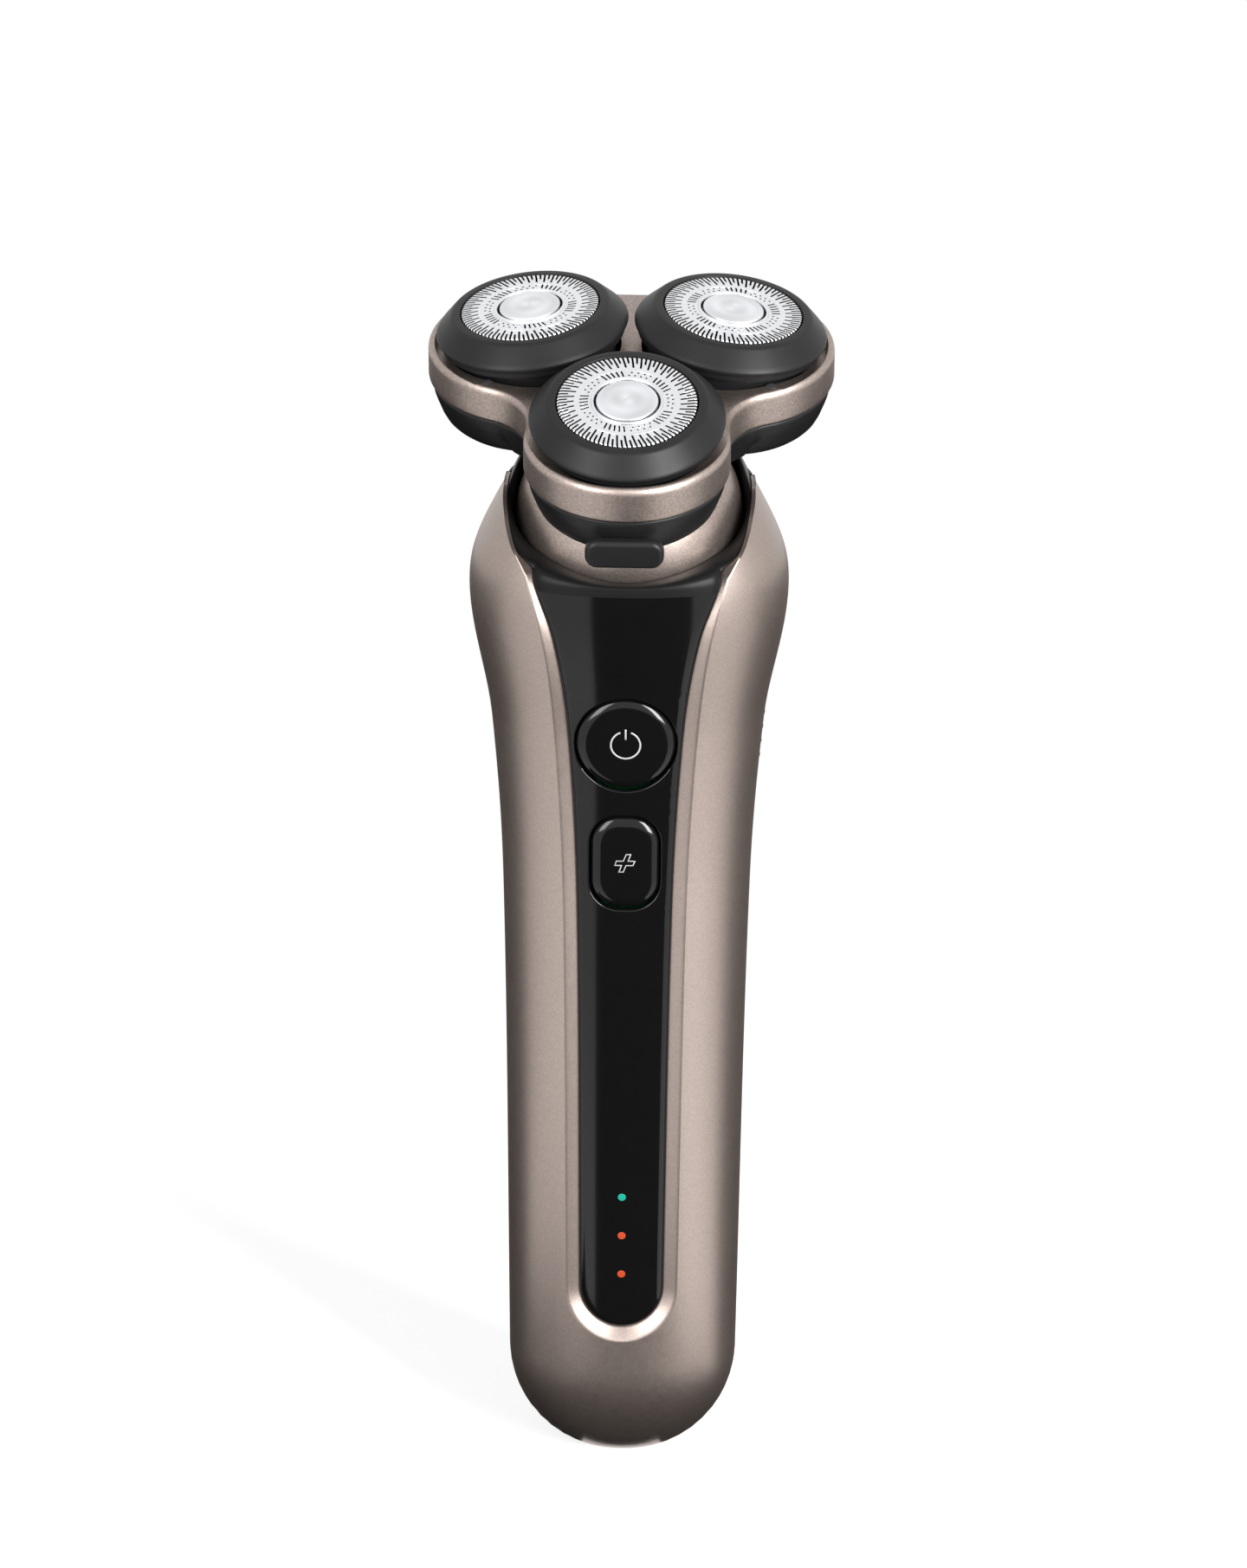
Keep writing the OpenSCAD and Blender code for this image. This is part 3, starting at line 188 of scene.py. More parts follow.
def ease(share):
    """Smooth step from 0 to 1."""
    share = min(max(share, 0.0), 1.0)
    return share * share * (3 - 2 * share)


def curve(stations, place):
    """Smooth curve through (place, value) stations."""
    last = len(stations) - 1
    i = 0
    while i < last - 1 and place > stations[i + 1][0]:
        i += 1

    def slope(k):
        before, after = stations[max(k - 1, 0)], stations[min(k + 1, last)]
        return (after[1] - before[1]) / (after[0] - before[0])

    (low, low_value), (high, high_value) = stations[i], stations[i + 1]
    span = high - low
    t = (place - low) / span
    return (
        low_value
        + (2 * t - 3) * t * t * (low_value - high_value)
        + (t - 1) * (t - 1) * t * span * slope(i)
        + (t - 1) * t * t * span * slope(i + 1)
    )


def steps_between(start, end, count, first=1):
    """Evenly spaced values up to end, from start on if first is 0."""
    return [mix(start, end, k / count) for k in range(first, count + 1)]


def polar(radius, angle, z=0.0):
    """Point at an angle from +X."""
    return Vector((radius * cos(angle), radius * sin(angle), z))


def round_handle(radius, angle, z):
    """Point at an angle from the handle's front."""
    return Vector((radius * sin(angle), -radius * cos(angle), z))


def outward(point):
    """Unit direction from the handle's axis to a point."""
    return Vector((point.x, point.y, 0)).normalized()


def moved(place, *by):
    """A placement shifted along its own axes."""
    return place @ Matrix.Translation(by)


def head_place(neck):
    """Placement of the head's own frame, with +Z along its axis."""
    return Matrix.Translation((0, 0, neck.pivot_height)) @ Matrix.Rotation(neck.tilt, 4, "X")


def unit_place(neck, head, bearing):
    """Placement of a shaving unit, with +Z out of its face."""
    turned = head_place(neck) @ Matrix.Rotation(radians(bearing), 4, "Z")
    return moved(turned, head.unit_radius, 0, head.face_height) @ Matrix.Rotation(
        head.unit_lean, 4, "Y"
    )


class Handle:
    """The handle's outer surface, with angles measured from the front."""

    # Exponent of the rounded cross-section.
    power = 2.25
    # Heights of the stations that the outline runs through.
    grip, flare, shoulder, crest = 0.096, 0.122, 0.1455, 0.162
    # Half width of the panel's foot, and heights of its upper stations.
    foot_half, key_level, panel_top = 0.0066, 0.13535, 0.1487
    # Height of the casing's edge at the side, and where the lip starts to thin out.
    land_side, lip_fade = 0.1588, 0.1395
    # Angle in degrees and height along the casing's upper edge.
    land_stations = (
        (43.1, 0.1487), (46.5, 0.1502), (52, 0.1521), (58, 0.1542), (66, 0.1564), (79, 0.1583),
        (90, land_side), (101, land_side), (180, land_side),
    )

    def __init__(self, size):
        self.size = size
        heel, depth = size.heel_height, size.heel_half_depth
        levels = heel, self.grip, self.flare, self.shoulder, self.crest
        self.width = list(zip(levels, (size.heel_half_width, 0.019, 0.0208, 0.0241, 0.0172)))
        self.front = list(zip(levels, (depth, 0.0148, 0.0164, 0.0198, 0.0182)))
        self.back = list(zip(levels, (depth, 0.0165, 0.018, 0.020, 0.0178)))
        self.panel = [
            (size.panel_foot + 0.007, self.foot_half), (self.grip, 0.0074), (self.flare, 0.00875),
            (self.key_level, 0.0105), (self.panel_top, 0.0138),
        ]
        self.land_curve = [(radians(angle), z) for angle, z in self.land_stations]
        self.heel_reach = heel / sqrt(1 - (size.foot_radius / size.heel_half_width) ** 2)
        self.lip_radius = self.foot_half + size.lip_width
        self.lip_centre = size.panel_foot + self.lip_radius
        self.lowest = heel - self.heel_reach * asin(heel / self.heel_reach)

    def height(self, run):
        """Height at a run along the surface, which curls under the rounded end."""
        heel = self.size.heel_height
        if run >= heel:
            return run
        return heel - self.heel_reach * sin((heel - run) / self.heel_reach)

    def half(self, stations, z):
        """Half width or half depth at a height."""
        heel = self.size.heel_height
        drop = max(heel - z, 0.0) / self.heel_reach
        return curve(stations, max(z, heel)) * sqrt(max(0.0, 1 - drop**2))

    def radius(self, z, angle):
        """Distance of the surface from the axis."""
        depth = self.half(self.front if cos(angle) > 0 else self.back, z)
        return 1 / (
            (abs(sin(angle)) / self.half(self.width, z)) ** self.power
            + (abs(cos(angle)) / depth) ** self.power
        ) ** (1 / self.power)

    def at(self, z, angle, inset=0.0):
        """Point of the surface, or that far inside it."""
        return round_handle(self.radius(z, angle) - inset, angle, z)

    def face_y(self, x, z):
        """Y of the front surface in front of (x, z)."""
        share = min(abs(x) / self.half(self.width, z), 1.0)
        return -self.half(self.front, z) * (1 - share**self.power) ** (1 / self.power)

    def angle_of(self, z, x):
        """Angle at which the front surface passes x."""
        return atan2(x, -self.face_y(x, z))

    def bevel(self, z):
        """Width from the foot of the bevel to the casing's edge."""
        rise = ease((z - self.flare) / (self.panel_top - self.flare))
        return self.size.lip_width * mix(1.0, 0.63, rise)

    def lip_share(self, z):
        """Width of the bevel's lacquered part, which thins out below the collar."""
        rise = ease((z - self.lip_fade) / (self.panel_top - self.lip_fade))
        return self.bevel(z) * mix(1.0, 0.3, rise)

    def panel_half(self, z):
        """Half width of the panel with its black part of the bevel."""
        return curve(self.panel, max(z, self.lip_centre)) + self.bevel(z) - self.lip_share(z)

    def lip_half(self, z):
        """Half width out to the lip's outer edge."""
        return self.panel_half(z) + self.lip_share(z)

    def land(self, angle):
        """Height of the casing's upper edge."""
        return curve(self.land_curve, angle)

    def on_panel(self, z):
        """Placement with +Z out of the panel and +Y up it."""
        step = 0.001
        lean = atan2(self.face_y(0, z + step) - self.face_y(0, z - step), 2 * step)
        place = Matrix.Translation((0, self.face_y(0, z) + self.size.panel_sink, z))
        return place @ Matrix.Rotation(pi / 2 - lean, 4, "X")


# ---- Meshes and pieces


def sheet(bm, columns, rows, place, open_at=None):
    """Adds a grid of points put where place(i, j) says, without the cells that are open_at."""
    made = bmesh.ops.create_grid(bm, x_segments=columns - 1, y_segments=rows - 1, size=0.5)["verts"]
    if open_at:
        gone = []
        for face in {face for vert in made for face in vert.link_faces}:
            middle = face.calc_center_median()
            if open_at(int((middle.x + 0.5) * (columns - 1)), int((middle.y + 0.5) * (rows - 1))):
                gone.append(face)
        bmesh.ops.delete(bm, geom=gone, context="FACES")
        made = [vert for vert in made if vert.is_valid]
    for vert in made:
        i, j = round((vert.co.x + 0.5) * (columns - 1)), round((vert.co.y + 0.5) * (rows - 1))
        vert.co = place(i, j)


def joined(bm, place=HERE, fill=False, inside=None, merge=1e-7):
    """Merges points that meet, closes open ends if asked, turns the faces out and moves it all.

    A skin that is left open faces away from the points that inside(middle of a face) gives.
    """
    bmesh.ops.remove_doubles(bm, verts=bm.verts, dist=merge)
    bmesh.ops.dissolve_degenerate(bm, dist=1e-7, edges=bm.edges)
    if fill:
        bmesh.ops.holes_fill(bm, edges=bm.edges, sides=0)
    bmesh.ops.recalc_face_normals(bm, faces=bm.faces)
    if inside:
        facing = 0.0
        for face in bm.faces:
            face.normal_update()
            middle = face.calc_center_median()
            facing += face.normal.dot(middle - inside(middle)) * face.calc_area()
        if facing < 0:
            bmesh.ops.reverse_faces(bm, faces=bm.faces)
    bmesh.ops.transform(bm, matrix=place, verts=bm.verts)


def mirrored(bm):
    """Completes a half on +X with its mirror image, facing away from the handle's axis."""
    bmesh.ops.remove_doubles(bm, verts=bm.verts, dist=2e-6)
    geometry = bm.verts[:] + bm.edges[:] + bm.faces[:]
    bmesh.ops.mirror(bm, geom=geometry, axis="X", merge_dist=1e-6)
    joined(bm, inside=lambda middle: Vector((0, 0, middle.z)), merge=2e-6)


def pill_reach(angle, half_width, half_length, corner=0.84):
    """Distance from the centre of a rounded bar to its edge in a direction."""
    radius = min(half_width, half_length) * corner
    ray = Vector((abs(cos(angle)), abs(sin(angle))))
    near, far = 0.0, half_width + half_length
    for _ in range(40):
        reach = (near + far) / 2
        x, y = ray * reach
        over_x, over_y = x - (half_width - radius), y - (half_length - radius)
        gap = hypot(max(over_x, 0), max(over_y, 0)) + min(max(over_x, over_y), 0) - radius
        near, far = (reach, far) if gap < 0 else (near, reach)
    return near


def rounded(points, radius, steps):
    """Profile with each inner corner rounded over about radius."""
    points = [Vector(point) for point in points]
    line = [points[0]]
    for before, corner, after in zip(points, points[1:], points[2:]):
        first = corner.lerp(before, min(radius / (before - corner).length, 0.45))
        last = corner.lerp(after, min(radius / (after - corner).length, 0.45))
        for k in range(steps + 1):
            t = k / steps
            line.append(first.lerp(corner, t).lerp(corner.lerp(last, t), t))
    return [tuple(point) for point in [*line, points[-1]]]


def from_mm(points):
    """Points in metres, from millimetres."""
    return [tuple(value / 1000 for value in point) for point in points]


def spun(bm, profile, place, steps):
    """Turns a profile of (radius, height) points once round +Z of place."""
    line = [bm.verts.new((radius, 0, height)) for radius, height in from_mm(profile)]
    edges = [bm.edges.new(pair) for pair in zip(line, line[1:])]
    bmesh.ops.spin(
        bm, geom=line + edges, cent=(0, 0, 0), axis=(0, 0, 1), angle=2 * pi, steps=steps,
        use_merge=True,
    )
    joined(bm, place)


def rod(bm, place, radius, depth, steps=32):
    """Adds a closed cylinder centred on place, along its +Z."""
    bmesh.ops.create_cone(
        bm, cap_ends=True, segments=steps, radius1=radius, radius2=radius, depth=depth, matrix=place
    )


def block(bm, low, high):
    """Adds a box between two corners."""
    low, high = Vector(low), Vector(high)
    made = bmesh.ops.create_cube(bm, size=1)["verts"]
    bmesh.ops.scale(bm, vec=high - low, verts=made)
    bmesh.ops.translate(bm, vec=(low + high) / 2, verts=made)


def mesh_object(name, bm):
    """Links a new object made of the bmesh to the scene."""
    mesh = bpy.data.meshes.new(name)
    bm.to_mesh(mesh)
    bm.free()
    obj = bpy.data.objects.new(name, mesh)
    bpy.context.scene.collection.objects.link(obj)
    return obj


def piece(name, bm, slot, body, nodes=(), sharp=40.0, finish=None):
    """Makes a piece of the bmesh, in its slot's finish unless given another, tied to the frame."""
    if not bm.faces:
        raise RuntimeError(f"{name} came out empty")
    obj = mesh_object(name, bm)
    obj.data.shade_smooth()
    obj.data.set_sharp_from_angle(angle=radians(sharp))
    obj.data.materials.append(finish or finishes()[slot])
    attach(obj, body)
    if nodes:
        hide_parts(*nodes)
    return obj


def thicken(obj, thickness):
    """Gives an open skin a wall on its inner side."""
    wall = obj.modifiers.new("Wall", "SOLIDIFY")
    wall.thickness = thickness
    wall.offset = -1
    return wall


# ---- Finishes


def add_node(tree, kind, sockets=None, output=0, **settings):
    """Adds a shader node fed with values or other nodes' outputs, and gives one or all outputs."""
    node = tree.nodes.new(f"ShaderNode{kind}")
    for name, value in settings.items():
        setattr(node, name, value)
    for socket, value in (sockets or {}).items():
        if isinstance(value, bpy.types.NodeSocket):
            tree.links.new(value, node.inputs[socket])
        else:
            node.inputs[socket].default_value = value
    return node.outputs if output is None else node.outputs[output]


class Finish:
    """A material under construction."""

    def __init__(self, name, tint, roughness, metallic=0.0, **sockets):
        self.material = bpy.data.materials.new(name)
        self.material.use_nodes = True
        self.tree = self.material.node_tree
        self.shader = self.tree.nodes["Principled BSDF"]
        self.colour = (*tint, 1.0)
        start = {"Base_Color": self.colour, "Roughness": roughness, "Metallic": metallic}
        for socket, value in {**start, **sockets}.items():
            self.shader.inputs[socket.replace("_", " ")].default_value = value
        self.place = self.add("TexCoord", output="Object")

    def add(self, kind, sockets=None, output=0, **settings):
        return add_node(self.tree, kind, sockets, output, **settings)

    def feed(self, socket, value):
        """Links a value to the shader."""
        self.tree.links.new(value, self.shader.inputs[socket])
        return self

    def noise(self, scale, detail=2.0, vector=None):
        where = vector or self.place
        return self.add("TexNoise", {"Vector": where, "Scale": scale, "Detail": detail})

    def remap(self, value, low, high, start=0.0, end=1.0):
        ends = {"From Min": start, "From Max": end, "To Min": low, "To Max": high}
        return self.add("MapRange", {"Value": value, **ends})

    def math(self, operation, *values):
        return self.add("Math", dict(enumerate(values)), operation=operation)

    def shade(self, factor):
        """Multiplies the base colour by a grey factor."""
        tint = {0: self.colour[:3], "Scale": factor}
        return self.feed("Base Color", self.add("VectorMath", tint, operation="SCALE"))

    def roughen(self, value, low, high):
        return self.feed("Roughness", self.remap(value, low, high))

    def bump(self, value, distance, strength):
        relief = {"Height": value, "Distance": distance, "Strength": strength}
        return self.feed("Normal", self.add("Bump", relief))


def lacquer(name, tint, flake, depth):
    """Metallic lacquer whose flakes each have their own brightness, under a clear coat."""
    coat = Finish(name, tint, 0.41, 0.95, Coat_Weight=0.08, Coat_Roughness=0.2)
    cells = coat.add("TexVoronoi", {"Vector": coat.place, "Scale": 1 / flake}, "Color")
    grains = coat.add("SeparateColor", {"Color": cells})
    coat.shade(coat.remap(grains, 1 - depth, 1 + depth))
    coat.roughen(coat.noise(900.0), 0.38, 0.44)
    return coat.bump(grains, flake * 0.05, 0.3).material


def gloss_black(name, tint):
    """Polished black moulding with faint polish marks."""
    coat = Finish(name, tint, 0.1, Specular_IOR_Level=0.35)
    coat.shade(coat.remap(coat.noise(300.0), 0.9, 1.1))
    return coat.roughen(coat.noise(140.0, 3.0), 0.09, 0.13).material


def moulded(name, tint, roughness, shine=0.3, grain=0.00018, depth=0.000006):
    """Moulded plastic or rubber with a fine grain."""
    skin = Finish(name, tint, roughness, Specular_IOR_Level=shine)
    bumps = skin.noise(1 / grain)
    skin.shade(skin.remap(skin.noise(400.0), 0.88, 1.12))
    skin.roughen(skin.noise(250.0, 3.0), roughness - 0.05, roughness + 0.05)
    return skin.bump(bumps, depth, 0.6).material


def metal(name, tint, roughness, stretch=(1, 1, 30), depth=0.12):
    """Worked metal with fine drawn marks."""
    skin = Finish(name, tint, roughness, 1.0)
    drawn = skin.add("Mapping", {"Vector": skin.place, "Scale": stretch})
    marks = skin.noise(900.0, 3.0, drawn)
    skin.shade(skin.remap(marks, 1 - depth, 1 + depth))
    return skin.roughen(marks, roughness * 0.75, roughness * 1.25).material


def turned_metal(name, tint, roughness, place, swirl):
    """Turned metal with soft rings and a soft swirl round its own axis."""
    skin = Finish(name, tint, roughness, 1.0)
    spot = {"Location": place.to_translation(), "Rotation": place.to_euler()}
    local = skin.add("Mapping", {"Vector": skin.place, **spot}, vector_type="TEXTURE")
    x, y, _ = skin.add("SeparateXYZ", {0: local}, None)
    angle = skin.math("ARCTAN2", y, x)
    square = skin.math("ADD", skin.math("MULTIPLY", x, x), skin.math("MULTIPLY", y, y))
    reach = skin.math("SQRT", square)
    rings = skin.math("SINE", skin.math("MULTIPLY", reach, 2900.0))
    twist, spread = skin.math("MULTIPLY", angle, 2.0), skin.math("MULTIPLY", reach, 900.0)
    sweep = skin.math("SINE", skin.math("ADD", twist, spread))
    faint, strong = skin.math("MULTIPLY", rings, 0.035), skin.math("MULTIPLY", sweep, swirl)
    skin.shade(skin.math("ADD", skin.math("ADD", faint, strong), 0.95))
    marks = skin.remap(sweep, 0.0, 1.0, -1.0, 1.0)
    return skin.roughen(marks, roughness * 0.8, roughness * 1.3).material


def printed(name, tint, glow=0.0):
    """Printed or lit sign with an even grain; a glow given to a printed sign is painted light."""
    ink = Finish(name, tint, 0.35, Emission_Strength=glow, Emission_Color=(*tint, 1.0))
    return ink.shade(ink.remap(ink.noise(2500.0), 0.94, 1.06)).material


def finishes():
    """All finishes by slot or use, made once."""
    tints = bpy.context.scene.shaver_finish
    table = {
        "taupe_metallic": ("taupe_lacquer", lacquer, tints.lacquer, 0.00016, 0.09),
        "taupe_coarse": ("taupe_coarse_lacquer", lacquer, tints.lacquer, 0.00022, 0.17),
        "gloss_black": ("gloss_black", gloss_black, tints.gloss),
        "collar_black": ("collar_black", moulded, tints.satin, 0.34, 0.1, 0.00018, 0.000002),
        "satin_black": ("satin_black", moulded, tints.satin, 0.4, 0.22),
        "soft_rubber": ("soft_rubber", moulded, tints.rubber, 0.5),
        "ring_rubber": ("ring_rubber", moulded, tints.rubber, 0.44, 0.22, 0.00022, 0.000014),
        "guard_steel": ("guard_steel", metal, tints.steel, 0.26, (2, 2, 2), 0.03),
        "cap_silver": ("cap_silver", metal, tints.steel, 0.2),
        # Near-black painted shade for the guards' slot walls and undersides, which are really steel.
        "slot_dark": ("slot_dark", moulded, (0.004, 0.004, 0.004), 0.6, 0.1),
        "blade_steel": ("blade_steel", metal, (0.16, 0.16, 0.17), 0.4),
        "gear_plastic": ("gear_acetal", moulded, (0.68, 0.66, 0.6), 0.4),
        "frame_plastic": ("frame_grey", moulded, (0.045, 0.045, 0.048), 0.45),
        "swivel_metal": ("swivel_casting", metal, (0.5, 0.51, 0.52), 0.38),
        "bright_steel": ("bright_steel", metal, (0.6, 0.61, 0.63), 0.22),
        "spring_wire": ("spring_wire", metal, (0.45, 0.45, 0.46), 0.28),
        "board_green": ("board_green", moulded, (0.008, 0.09, 0.03), 0.35),
        "cell_wrap": ("cell_sleeve", moulded, (0.02, 0.2, 0.12), 0.3),
        "contact_metal": ("contact_gold", metal, (0.7, 0.48, 0.2), 0.25),
        "light_lens": ("light_guide", printed, (0.1, 0.5, 0.42)),
        "copper_winding": ("copper_winding", metal, (0.55, 0.22, 0.1), 0.35),
        # The printed key signs glow faintly: painted light, as the signs are no lamp.
        "sign": ("key_sign", printed, tints.sign, 0.1),
        "ready": ("ready_light", printed, tints.ready, 0.35),
        "charge": ("charge_light", printed, tints.charge, 0.35),
    }
    made = {}
    for use, (kind, maker, *look) in table.items():
        name = f"shaver_{kind}"
        made[use] = bpy.data.materials.get(name) or maker(name, *look)
    return made


# ---- Casing, panel and collar


class Lip:
    """The bevelled lip that runs round the panel and on up the casing's upper edge."""

    # Rows round the panel's foot, up its sides and along the casing's upper edge.
    round_rows, side_rows, land_rows = 16, 66, 30
    # Inset and drop of the lip's foot on that edge, and the turn over which it gets there.
    land_inset, land_drop, leaving = 0.00035, 0.0001, 0.16

    def __init__(self, shape):
        self.shape = shape
        self.corner = shape.angle_of(shape.panel_top, shape.lip_half(shape.panel_top))
        self.rows = self.round_rows + self.side_rows + self.land_rows + 1

    def share(self, row):
        """Which stretch a row is on, and how far along it."""
        if row <= self.round_rows:
            return "round", row / self.round_rows
        row -= self.round_rows
        if row <= self.side_rows:
            return "side", row / self.side_rows
        return "land", (row - self.side_rows) / self.land_rows

    def line(self, share, stretch, half, radius):
        """Point across and up on a line round the panel."""
        centre = self.shape.lip_centre
        if stretch == "side":
            z = mix(centre, self.shape.panel_top, share)
            return half(z), z
        swing = share * pi / 2
        return half(centre) * sin(swing), centre - radius * cos(swing)

    def crest(self, row):
        """Angle and height of the lip's outer edge."""
        shape, (stretch, share) = self.shape, self.share(row)
        if stretch == "land":
            angle = mix(self.corner, shape.size.parting_angle, share**1.15)
            return angle, shape.land(angle)
        x, z = self.line(share, stretch, shape.lip_half, shape.lip_radius)
        return shape.angle_of(z, x), z

    def landed(self, row):
        """How far a row has left the panel for the casing's upper edge, from 0 to 1."""
        if self.share(row)[0] != "land":
            return 0.0
        return ease((self.crest(row)[0] - self.corner) / self.leaving)

    def crest_point(self, row):
        angle, z = self.crest(row)
        return self.shape.at(z, angle)

    def foot_point(self, row):
        """Where the lip meets the black panel and collar."""
        shape, (stretch, share) = self.shape, self.share(row)
        depth = shape.size.lip_depth
        if stretch == "land":
            angle, z = self.crest(row)
            on_land = shape.at(z, angle, self.land_inset) - Vector((0, 0, self.land_drop))
            across = self.crest_point(row).x - shape.lip_share(shape.panel_top)
            on_panel = shape.at(z, shape.angle_of(z, across), depth)
            return mix(on_panel, on_land, self.landed(row))
        inner = shape.lip_radius - shape.size.lip_width
        x, z = self.line(share, stretch, shape.panel_half, inner)
        return shape.at(z, shape.angle_of(z, x), depth)


class SHAVER_OT_casing(bpy.types.Operator):
    """Front casing with the bevelled lip round its panel opening"""

    bl_idname = "shaver.casing"
    bl_label = "Casing"

    # Columns across the lip and on round the casing, and how far the edges are rounded in.
    across = (0.02, 0.07, 0.5, 0.86, 0.94, 1.0)
    around = [0.004, 0.012, 0.035, 0.08, 0.14, *steps_between(0.14, 0.98, 14), 0.99, 0.996, 1.0]
    crest_rounding = {1.0: 0.00006, 0.94: 0.00002}
    border_rounding = {1.0: 0.00014, 0.996: 0.00005}

    def execute(self, context):
        size = context.scene.shaver_handle
        shape = Handle(size)
        lip = Lip(shape)
        # Row, share of the parting angle and run of the casing's outer border.
        border = [
            (0, 0.0, shape.lowest), (10, 1.0, shape.lowest), (lip.round_rows, 1.0, 0.008),
            (lip.round_rows + lip.side_rows, 1.0, 0.139), (lip.rows - 1, 1.0, shape.land_side),
        ]

        def place(i, j):
            foot, crest = lip.foot_point(j), lip.crest_point(j)
            if i == 0:
                tucked = foot - (crest - foot) * 0.05 - outward(foot) * 0.0006
                return mix(tucked, foot - Vector((0, 0, 0.001)), lip.landed(j))
            if i <= len(self.across):
                share = self.across[i - 1]
                inset = self.crest_rounding.get(share, 0.0)
                return mix(foot, crest, share) - outward(crest) * inset
            share = self.around[i - len(self.across) - 1]
            angle, z = lip.crest(j)
            start, end = next(pair for pair in zip(border, border[1:]) if j <= pair[1][0])
            along = (j - start[0]) / (end[0] - start[0])
            run = mix(z, mix(start[2], end[2], along), share)
            angle = mix(angle, mix(start[1], end[1], along) * size.parting_angle, share)
            return shape.at(shape.height(run), angle, self.border_rounding.get(share, 0.0))

        bm = bmesh.new()
        sheet(bm, 1 + len(self.across) + len(self.around), lip.rows, place)
        mirrored(bm)
        thicken(piece("casing", bm, "taupe_metallic", "handle", ("front_shell",), 50), 0.0003)
        return {"FINISHED"}


